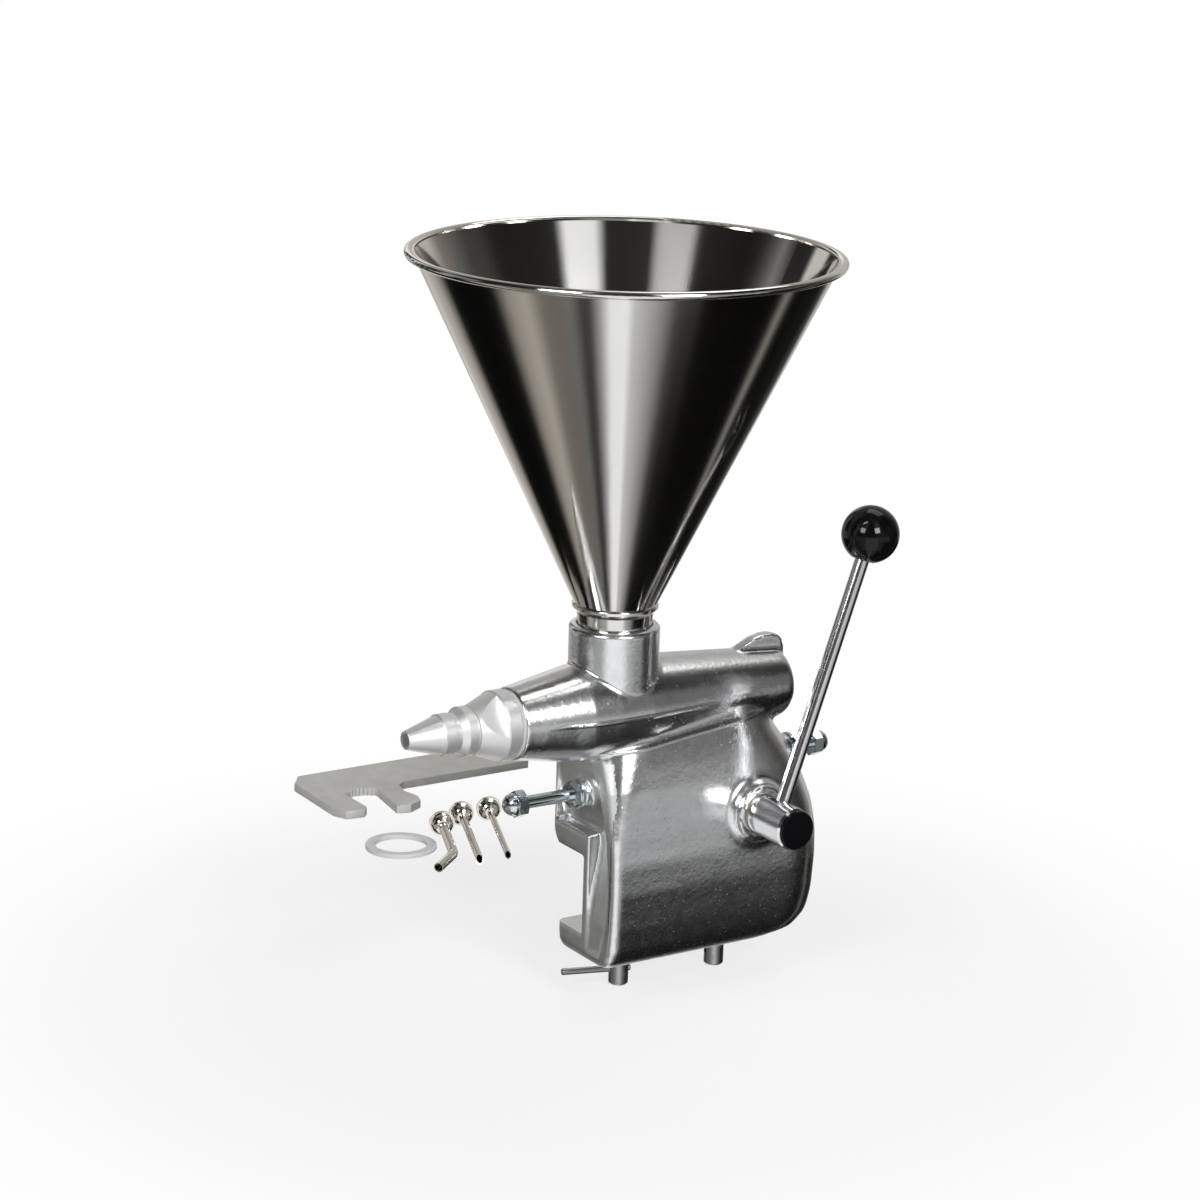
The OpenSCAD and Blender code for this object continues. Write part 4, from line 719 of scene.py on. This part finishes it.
@dataclass
class Casting:
    """The cast body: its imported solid, with cast fillets, flank lines and crisp machined faces."""

    voxel: float = 1.5 * MM
    faces: int = 190000
    smooth_angle: float = 60.0
    snap: float = 0.9 * MM
    axis_height: float = 102 * MM
    barrel: Line = ((-83, 24.7), (-33, 33.4), (-12, 34.7), (12, 34.7), (132.5, 24.9))
    barrel_ends: Pair = (-82 * MM, 132 * MM)
    barrel_side: float = 3 * MM
    fin_width: float = 6.5 * MM
    fin_front: float = 84 * MM
    shaft: Pair = (95.025 * MM, 25 * MM)
    neck_radius: float = 31 * MM
    neck_foot: float = 110 * MM
    neck_top: float = 162 * MM
    neck_round: float = 2 * MM
    neck_clear: float = 1.5 * MM
    neck_fade: Pair = (0.6 * MM, 2 * MM)
    socket: Point = (24.2 * MM, 137.6 * MM, 155.4 * MM)
    mouth: Point = (26.2 * MM, 156.6 * MM, 161.4 * MM)
    mouth_snap: float = 1.1 * MM
    mouth_floor: float = 156 * MM
    nose_face: float = -83 * MM
    nose_radius: float = 24 * MM
    boss_face: float = -50 * MM
    boss_depth: float = 5 * MM
    boss_radius: float = 19.5 * MM
    boss_edge: float = 0.8 * MM
    panel_lean: float = -0.55
    panel_limit: float = -8 * MM
    panel_top: float = 72 * MM
    panel_reach: float = 38 * MM
    machined: MachinedFaces = MachinedFaces()
    skin: CastSkin = CastSkin()
    lines: FlankLines = FlankLines()

    def build(self, finishes: Finishes) -> None:
        """Builds and dresses the casting.

        Args:
            finishes: The machine's finishes.
        """
        piece = Hand.copy_of("body_casting", "cast_body")
        Hand.modify(piece, "REMESH", mode="VOXEL", voxel_size=self.voxel, adaptivity=0.0)
        self._soften(piece)
        self._refine_flanks(piece)
        for vertex in piece.data.vertices:
            vertex.co.y += math.copysign(1.0, vertex.co.y) * self.lines.rise_at(vertex.co)
        for vertex in piece.data.vertices:
            self._true_up(vertex.co)
        triangles = sum(len(face.vertices) - 2 for face in piece.data.polygons)
        LOG.info("cast_body: %d triangles", triangles)
        if triangles > self.faces:
            Hand.modify(piece, "DECIMATE", ratio=self.faces / triangles)
        Hand.settle(piece, self.smooth_angle)
        finishes.dress(piece, "cast aluminium")
        self._leave_as_cast(piece, finishes)
        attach(piece, "frame")
        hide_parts("body_casting")

    def _leave_as_cast(self, piece: Piece, finishes: Finishes) -> None:
        """Gives the recessed front panel the duller skin that polishing didn't reach.

        Args:
            piece: The finished casting.
            finishes: The machine's finishes.
        """
        piece.data.materials.append(finishes.materials["as-cast aluminium"])
        for face in piece.data.polygons:
            at = face.center
            in_panel = at.x < self.panel_limit and at.z < self.panel_top and abs(at.y) < self.panel_reach
            if in_panel and face.normal.x < self.panel_lean:
                face.material_index = 1

    def _round_shaft(self, p: Vector) -> float:
        """Distance of a point from the cross shaft's axis."""
        return math.hypot(p.x - self.shaft[0], p.z - self.shaft[1])

    def _soften(self, piece: Piece) -> None:
        """Rounds the cast edges, most of all where the barrel and the boss grow out of the casing.

        Args:
            piece: The remeshed casting.
        """
        groups = {name: piece.vertex_groups.new(name=name) for name in ("cast", "fillet", "flank")}
        for vertex in piece.data.vertices:
            p = vertex.co
            reach = self._round_shaft(p)
            round_barrel = math.hypot(p.y, p.z - self.axis_height)
            if self.machined.hold(p, math.hypot(p.x, p.y), round_barrel, reach):
                continue
            weights = {"cast": 1.0, "fillet": self.skin.fillet(p, reach), "flank": self.skin.flank(p, reach)}
            for name, weight in weights.items():
                if weight > 0:
                    groups[name].add([vertex.index], weight, "REPLACE")
        passes_of = {"cast": self.skin.cast_passes, "fillet": self.skin.fillet_passes, "flank": self.skin.flank_passes}
        for name, passes in passes_of.items():
            Hand.modify(piece, "SMOOTH", factor=self.skin.pass_strength, iterations=passes, vertex_group=name)

    def _refine_flanks(self, piece: Piece) -> None:
        """Divides the faces along the two flank lines, so that they come out crisp.

        Args:
            piece: The softened casting.
        """
        Hand.take(piece)
        bpy.ops.object.mode_set(mode="EDIT")
        bpy.ops.mesh.select_mode(type="FACE")
        mesh = bmesh.from_edit_mesh(piece.data)
        for face in mesh.faces:
            face.select_set(self.lines.pass_near(face.calc_center_median()))
        bmesh.update_edit_mesh(piece.data)
        bpy.ops.mesh.subdivide(number_cuts=1)
        bpy.ops.object.mode_set(mode="OBJECT")

    def _true_up(self, p: Vector) -> None:
        """Sets a point of a machined or turned face back to its exact size.

        Args:
            p: The point, which is moved.
        """
        across = math.hypot(p.x, p.y)
        high = p.z - self.axis_height
        round_barrel = math.hypot(p.y, high)
        if p.z > self.neck_foot and across > 0:
            self._true_up_neck(p, across)
        on_rim = self.mouth[0] - self.snap < across < self.neck_radius - self.neck_round
        if abs(p.z - self.neck_top) < self.snap and on_rim:
            p.z = self.neck_top
        if abs(p.z - self.mouth_floor) < self.snap and self.socket[0] < across < self.mouth[0]:
            p.z = self.mouth_floor
        if abs(p.x - self.nose_face) < self.snap and round_barrel < self.nose_radius:
            p.x = self.nose_face
        radius = height_on(self.barrel, p.x)
        on_top = high > self.barrel_side and self.barrel_ends[0] < p.x < self.barrel_ends[1]
        off_neck = across > self.neck_radius + self.neck_clear
        off_fin = abs(p.y) > self.fin_width or p.x < self.fin_front
        if on_top and off_neck and off_fin and abs(round_barrel - radius) < self.snap:
            p.y, p.z = p.y * radius / round_barrel, self.axis_height + high * radius / round_barrel
        reach = self._round_shaft(p)
        if p.y < self.boss_face + self.boss_depth and abs(reach - self.boss_radius) < self.snap:
            pull = self.boss_radius / reach
            p.x = self.shaft[0] + (p.x - self.shaft[0]) * pull
            p.z = self.shaft[1] + (p.z - self.shaft[1]) * pull
        if abs(p.y - self.boss_face) < self.snap and reach < self.boss_radius - self.boss_edge:
            p.y = self.boss_face

    def _true_up_neck(self, p: Vector, across: float) -> None:
        """Sets a point of the neck's turned walls back to its radius.

        Args:
            p: The point, which is moved.
            across: Its distance from the hopper's axis.
        """
        foot = self.axis_height + math.sqrt(max(0.0, height_on(self.barrel, p.x) ** 2 - p.y ** 2))
        if abs(across - self.neck_radius) < self.snap and p.z < self.neck_top - self.neck_round:
            share = share_of((p.z - foot - self.neck_fade[0]) / self.neck_fade[1])
            pull = 1.0 + (self.neck_radius / across - 1.0) * share
            p.x, p.y = p.x * pull, p.y * pull
        for radius, low, top in (self.socket, self.mouth):
            if low < p.z < top and abs(across - radius) < self.mouth_snap:
                p.x, p.y = p.x * radius / across, p.y * radius / across


@dataclass
class Spanner:
    """The flat hook spanner, with its edges broken."""

    break_width: float = 0.45 * MM
    flat_angle: float = 1.0
    edge_angle: float = 40.0
    smooth_angle: float = 30.0

    def build(self, finishes: Finishes) -> None:
        """Builds and dresses the spanner.

        Args:
            finishes: The machine's finishes.
        """
        piece = Hand.copy_of("hook_spanner", "flat_spanner")
        bpy.ops.object.mode_set(mode="EDIT")
        bpy.ops.mesh.select_all(action="SELECT")
        bpy.ops.mesh.dissolve_limited(angle_limit=math.radians(self.flat_angle))
        bpy.ops.object.mode_set(mode="OBJECT")
        Hand.modify(piece, "BEVEL", width=self.break_width, segments=2, limit_method="ANGLE",
                    angle_limit=math.radians(self.edge_angle))
        Hand.modify(piece, "TRIANGULATE", min_vertices=5)
        Hand.settle(piece, self.smooth_angle)
        finishes.dress(piece, "spanner aluminium")
        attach(piece, "frame")
        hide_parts("hook_spanner")


@dataclass
class SpareGasket:
    """The spare silicone ring, lying slightly out of round."""

    centre: Pair = (-125 * MM, 68 * MM)
    outer: float = 24.1 * MM
    inner: float = 17.5 * MM
    thickness: float = 3 * MM
    edge_round: float = 0.5 * MM
    edge_angle: float = 50.0
    smooth_angle: float = 40.0
    steps: int = 96
    waves: tuple[Point, ...] = ((0.02, 2, 0.6), (0.01, 3, 2.0))

    def build(self, finishes: Finishes) -> None:
        """Builds and dresses the ring.

        Args:
            finishes: The machine's finishes.
        """
        Hand.release()
        x, y = self.centre
        bpy.ops.mesh.primitive_circle_add(vertices=self.steps, radius=self.outer, location=(x, y, 0.0))
        piece = bpy.context.object
        piece.name = "spare_ring"
        bpy.ops.object.mode_set(mode="EDIT")
        bpy.ops.mesh.select_mode(type="VERT")
        bpy.ops.mesh.select_all(action="SELECT")
        bpy.ops.mesh.extrude_region_move()
        share = self.inner / self.outer
        bpy.ops.transform.resize(value=(share, share, 1.0), center_override=(x, y, 0.0))
        bpy.ops.mesh.select_all(action="SELECT")
        bpy.ops.mesh.extrude_region_move(TRANSFORM_OT_translate={"value": (0.0, 0.0, self.thickness)})
        bpy.ops.mesh.select_all(action="SELECT")
        bpy.ops.mesh.normals_make_consistent(inside=False)
        bpy.ops.object.mode_set(mode="OBJECT")
        Hand.modify(piece, "BEVEL", width=self.edge_round, segments=3, limit_method="ANGLE",
                    angle_limit=math.radians(self.edge_angle))
        for vertex in piece.data.vertices:
            turn = math.atan2(vertex.co.y, vertex.co.x)
            swell = 1.0 + sum(size * math.cos(count * turn + start) for size, count, start in self.waves)
            vertex.co.x *= swell
            vertex.co.y *= swell
        Hand.settle(piece, self.smooth_angle)
        finishes.dress(piece, "clear silicone")
        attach(piece, "frame")
        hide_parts("spare_gasket")


@dataclass
class PackedNodes:
    """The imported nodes, each with its finish."""

    nodes_by_finish: dict[str, tuple[str, ...]] = field(default_factory=lambda: {
        "cover aluminium": ("side_cover",),
        "cover screw steel": ("cover_screws",),
        "bush bronze": ("near_bush", "far_bush"),
        "cross shaft steel": ("cross_shaft", "drive_pin"),
        "lever rod steel": ("lever_rod",),
        "washer steel": ("shaft_washer",),
        "black oxide": ("retaining_ring", "rocker_set_screw"),
        "rocker steel": ("rocker_arm",),
        "piston steel": ("piston",),
        "seal rubber": ("piston_seals",),
        "hub steel": ("lever_hub",),
        "black knob": ("hub_end_cap", "ball_knob"),
        "bright zinc": ("front_stop_screw", "front_acorn_nut", "front_lock_nut", "front_washer",
                        "rear_stop_screw", "rear_acorn_nut", "rear_lock_nut", "rear_washer"),
        "clamp steel": ("front_clamp_screw", "rear_clamp_screw", "tommy_bar"),
        "pad steel": ("front_clamp_pad", "rear_clamp_pad"),
        "spun hopper steel": ("hopper_cone",),
        "spigot steel": ("hopper_spigot",),
        "clear silicone": ("spigot_seal", "nozzle_gasket", "spare_gasket"),
        "nozzle aluminium": ("nozzle_union", "nozzle_tip"),
        "spout steel": ("bent_spout", "wide_spout", "narrow_spout"),
        "cast aluminium": ("body_casting",),
        "spanner aluminium": ("hook_spanner",),
    })

    def build(self, finishes: Finishes, nodes: dict[str, Piece]) -> None:
        """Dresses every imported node.

        Args:
            finishes: The machine's finishes.
            nodes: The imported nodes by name.
        """
        for finish, names in self.nodes_by_finish.items():
            for name in names:
                finishes.dress(nodes[name], finish)


NETS_TO_THE_LEFT = (
    (-180, 0.95, 0.03), (-168, 0.80, 0.03), (-156, 0.52, 0.04), (-144, 0.36, 0.05), (-134, 0.003),
    (-98, 0.003), (-89, 0.30, 0.06), (-77, 0.42, 0.06), (-66, 0.17, 0.06), (-54, 0.14, 0.05))
NETS_TO_THE_RIGHT = (
    (114, 0.003), (119, 0.25, 0.05), (124, 0.003), (148, 0.01), (162, 0.08, 0.04), (168, 0.60, 0.04))


@dataclass(frozen=True)
class Lamp:
    """One soft rectangular lamp: direction from the camera's own in degrees, size, and power in watts."""

    name: str
    heading: float
    elevation: float
    size: Pair
    power: float


@dataclass
class Studio:
    """Camera, lamps, floor and surroundings.

    Each row of nets gives heading from the camera in degrees, openness and, unless it is 0, warmth of its edges.
    """

    place: Point = (-1.2829, -1.9301, 0.8182)
    right: Point = (0.8395, -0.5426, 0.0302)
    back: Point = (-0.5299, -0.8051, 0.2665)
    lens: float = 106.6365
    middle: Point = (0.0, 0.0, 0.15)
    lamp_distance: float = 2.3
    lamps: tuple[Lamp, ...] = (
        Lamp("right_softbox", 30.0, 28.0, (0.75, 0.75), 26.0),
        Lamp("left_softbox", -34.0, 28.0, (0.75, 0.75), 18.0),
        Lamp("roof_softbox", 150.0, 62.0, (1.5, 1.0), 8.0),
    )
    floor_height: float = -0.1085
    floor_size: float = 40.0
    floor_level: float = 0.9
    floor_roughness: float = 0.9
    fade_reach: Pair = (0.2, 0.6)
    fade_levels: Pair = (0.74, 1.0)
    net_distance: float = 18.0
    roof_level: float = 0.12
    warm_blue: float = 1.5
    net_climbs: Line = ((-0.84, -0.76), (-0.34, -0.24), (-0.06, 0.06), (0.36, 0.50), (0.76, 0.95))
    low_nets: Nets = (
        *NETS_TO_THE_LEFT, (-44, 0.15, 0.03), (-35, 0.03), (-29, 0.05), (-21, 0.36), (-12, 0.98, -0.02),
        (2, 1.0, -0.02), (8, 0.62, -0.01), (20, 0.44), (31, 0.26, 0.02), (42, 0.05, 0.03), (52, 0.004, 0.05),
        *NETS_TO_THE_RIGHT)
    lower_nets: Nets = (
        *NETS_TO_THE_LEFT, (-44, 0.34), (-26, 0.40), (-18, 0.95), (24, 0.95), (34, 0.40), (48, 0.28),
        (60, 0.004, 0.05), *NETS_TO_THE_RIGHT)
    level_nets: Nets = (
        (-180, 0.50, 0.03), (-150, 0.42, 0.04), (-140, 0.38, 0.04), (-130, 0.42, 0.04), (-104, 0.42, 0.02),
        (-96, 0.03), (-74, 0.03, 0.02), (-64, 0.36), (-26, 0.42), (-18, 1.0, -0.01), (24, 1.0), (36, 0.60),
        (53, 0.48), (73, 0.48), (80, 0.04, 0.02), (116, 0.02, 0.04), (134, 0.20, 0.04), (146, 0.50, 0.03),
        (165, 0.50, 0.03))
    upper_nets: Nets = (
        (-180, 0.50, 0.03), (-170, 0.90, 0.02), (-163, 0.90, 0.02), (-159, 0.02), (-150, 0.02),
        (-146, 0.60, 0.02), (-134, 0.60, 0.02), (-130, 0.02), (-112, 0.02), (-106, 0.30), (-84, 0.20),
        (-78, 0.02), (-48, 0.03), (-22, 0.05), (14, 0.05), (22, 0.30), (38, 0.30), (50, 0.14, 0.02),
        (90, 0.12, 0.02), (110, 0.05, 0.04), (134, 0.20, 0.04), (146, 0.50, 0.03), (165, 0.50, 0.03))
    high_nets: Nets = (
        (-180, 0.40, 0.03), (-150, 0.34, 0.04), (-130, 0.30, 0.04), (-112, 0.03, 0.04), (-90, 0.01, 0.05),
        (-48, 0.02, 0.05), (-42, 0.42), (-22, 0.48), (-16, 0.03, 0.02), (14, 0.02, 0.02), (21, 0.85, -0.02),
        (41, 0.85, -0.02), (47, 0.02, 0.02), (90, 0.01, 0.04), (108, 0.03, 0.04), (125, 0.30, 0.04),
        (150, 0.42, 0.03))

    def build(self) -> None:
        """Sets up the whole studio."""
        self._camera()
        for lamp in self.lamps:
            self._hang(lamp)
        self._floor()
        self._surroundings()
        self._nets()
        bpy.context.scene.view_settings.view_transform = "Standard"

    def _camera(self) -> None:
        """Puts the camera where the photograph was taken from."""
        right = Vector(self.right).normalized()
        back = Vector(self.back)
        back = (back - back.dot(right) * right).normalized()
        up = back.cross(right)
        data = bpy.data.cameras.new("camera")
        data.lens = self.lens
        camera = bpy.data.objects.new("camera", data)
        turn = Matrix((right, up, back)).transposed().to_4x4()
        camera.matrix_world = Matrix.Translation(Vector(self.place)) @ turn
        bpy.context.scene.collection.objects.link(camera)
        bpy.context.scene.camera = camera

    def _hang(self, lamp: Lamp) -> None:
        """Hangs one lamp at the studio's distance, facing the machine.

        Args:
            lamp: The lamp.
        """
        data = bpy.data.lights.new(lamp.name, "AREA")
        data.shape = "RECTANGLE"
        data.size, data.size_y = lamp.size
        data.energy = lamp.power
        turn = math.atan2(self.back[1], self.back[0]) + math.radians(lamp.heading)
        rise = math.radians(lamp.elevation)
        away = Vector((math.cos(rise) * math.cos(turn), math.cos(rise) * math.sin(turn), math.sin(rise)))
        light = bpy.data.objects.new(lamp.name, data)
        light.location = Vector(self.middle) + away * self.lamp_distance
        light.rotation_mode = "QUATERNION"
        light.rotation_quaternion = away.to_track_quat("Z", "Y")
        bpy.context.scene.collection.objects.link(light)

    def _floor(self) -> None:
        """Lays a large pale floor below the clamp screws, which blends to white away from the shadow."""
        Hand.release()
        bpy.ops.mesh.primitive_plane_add(size=self.floor_size, location=(0.0, 0.0, self.floor_height))
        floor = bpy.context.object
        floor.name = "studio_floor"
        material = bpy.data.materials.new("pale floor")
        material.use_nodes = True
        wiring = Wiring(material.node_tree)
        shader = wiring.tree.nodes["Principled BSDF"]
        level = self.floor_level
        wiring.feed(shader.inputs["Base Color"], (level, level, level, 1.0))
        wiring.feed(shader.inputs["Roughness"], self.floor_roughness)
        wiring.feed(shader.inputs["Specular IOR Level"], 0.0)
        glow = wiring.node("ShaderNodeEmission", {"Color": (1.0, 1.0, 1.0, 1.0)})
        place = wiring.node("ShaderNodeTexCoord").outputs["Object"]
        far = wiring.node("ShaderNodeVectorMath", {0: place}, operation="LENGTH").outputs["Value"]
        rays = wiring.node("ShaderNodeLightPath").outputs
        mirrored = wiring.calc("MAXIMUM", rays["Is Glossy Ray"], rays["Is Transmission Ray"])
        straight = wiring.calc("MAXIMUM", rays["Is Camera Ray"], mirrored)
        seen = wiring.calc("MULTIPLY", wiring.step(far, *self.fade_reach, *self.fade_levels), straight)
        blend = wiring.node("ShaderNodeMixShader", {0: seen, 1: shader.outputs[0], 2: glow.outputs[0]})
        wiring.feed(wiring.tree.nodes["Material Output"].inputs["Surface"], blend.outputs[0])
        floor.data.materials.append(material)
        floor.visible_glossy = False

    def _surroundings(self) -> None:
        """Makes the surroundings plain white."""
        world = bpy.data.worlds.new("studio surroundings")
        bpy.context.scene.world = world
        world.use_nodes = True
        white = world.node_tree.nodes["Background"]
        white.inputs["Color"].default_value = (1.0, 1.0, 1.0, 1.0)
        white.inputs["Strength"].default_value = 1.0

    def _nets(self) -> None:
        """Hangs dark nets with gaps round the machine, as a studio does for metal."""
        Hand.release()
        bpy.ops.mesh.primitive_uv_sphere_add(segments=64, ring_count=32, radius=self.net_distance)
        nets = bpy.context.object
        nets.name = "studio_nets"
        material = bpy.data.materials.new("studio nets")
        material.use_nodes = True
        wiring = Wiring(material.node_tree)
        wiring.tree.nodes.remove(wiring.tree.nodes["Principled BSDF"])
        place = wiring.node("ShaderNodeTexCoord").outputs["Object"]
        aim = wiring.node("ShaderNodeVectorMath", {0: place}, operation="NORMALIZE").outputs["Vector"]
        x, y, height = wiring.node("ShaderNodeSeparateXYZ", {0: aim}).outputs
        span = {"Value": wiring.calc("ARCTAN2", y, x), "From Min": -math.pi, "From Max": math.pi}
        round_horizon = wiring.node("ShaderNodeMapRange", span).outputs["Result"]
        shade, *higher = (self._ramp(wiring, round_horizon, self._ring(row)) for row in (
            self.low_nets, self.lower_nets, self.level_nets, self.upper_nets, self.high_nets))
        roof = (self.roof_level, self.roof_level, self.roof_level, 1.0)
        for (start, end), upper in zip(self.net_climbs, (*higher, roof)):
            shade = wiring.mixed(wiring.step(height, start, end), shade, upper)
        net = wiring.node("ShaderNodeBsdfTransparent", {"Color": shade})
        wiring.feed(wiring.tree.nodes["Material Output"].inputs["Surface"], net.outputs[0])
        nets.data.materials.append(material)
        nets.visible_camera = False
        nets.visible_transmission = False

    def _ring(self, nets: Nets) -> Stops:
        """Turns a row of nets into stops round the horizon.

        Args:
            nets: The row, by heading from the camera.

        Returns:
            Position, level and warmth of each stop, in order.
        """
        ahead = math.degrees(math.atan2(self.back[1], self.back[0]))
        stops = sorted((((heading + ahead + 180.0) % 360.0) / 360.0, level, warmth[0] if warmth else 0.0)
                       for heading, level, *warmth in nets)
        first, last = stops[0], stops[-1]
        gap = first[0] + 1.0 - last[0]
        seam = (1.0 - last[0]) / gap
        level = last[1] + (first[1] - last[1]) * seam
        warmth = last[2] + (first[2] - last[2]) * seam
        return ((0.0, level, warmth), *stops, (1.0, level, warmth))

    def _ramp(self, wiring: Wiring, share: Socket, stops: Stops) -> Socket:
        """Adds a colour ramp.

        Args:
            wiring: The nets' nodes.
            share: Where along the ramp a place is.
            stops: Position, level and warmth of each stop.

        Returns:
            The ramp's colour.
        """
        node = wiring.node("ShaderNodeValToRGB", {"Fac": share})
        ramp = node.color_ramp
        while len(ramp.elements) > 1:
            ramp.elements.remove(ramp.elements[-1])
        for index, (position, level, warmth) in enumerate(stops):
            stop = ramp.elements[0] if index == 0 else ramp.elements.new(position)
            stop.position = position
            stop.color = (level * (1.0 + warmth), level, level * (1.0 - self.warm_blue * warmth), 1.0)
        return node.outputs["Color"]


def main() -> None:
    """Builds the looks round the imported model."""
    logging.basicConfig(level=logging.INFO, format="%(message)s")
    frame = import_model()
    Hand.release()
    finishes = Finishes()
    PackedNodes().build(finishes, frame["nodes"])
    Casting().build(finishes)
    Spanner().build(finishes)
    SpareGasket().build(finishes)
    Studio().build()


if __name__ == "__main__":
    main()
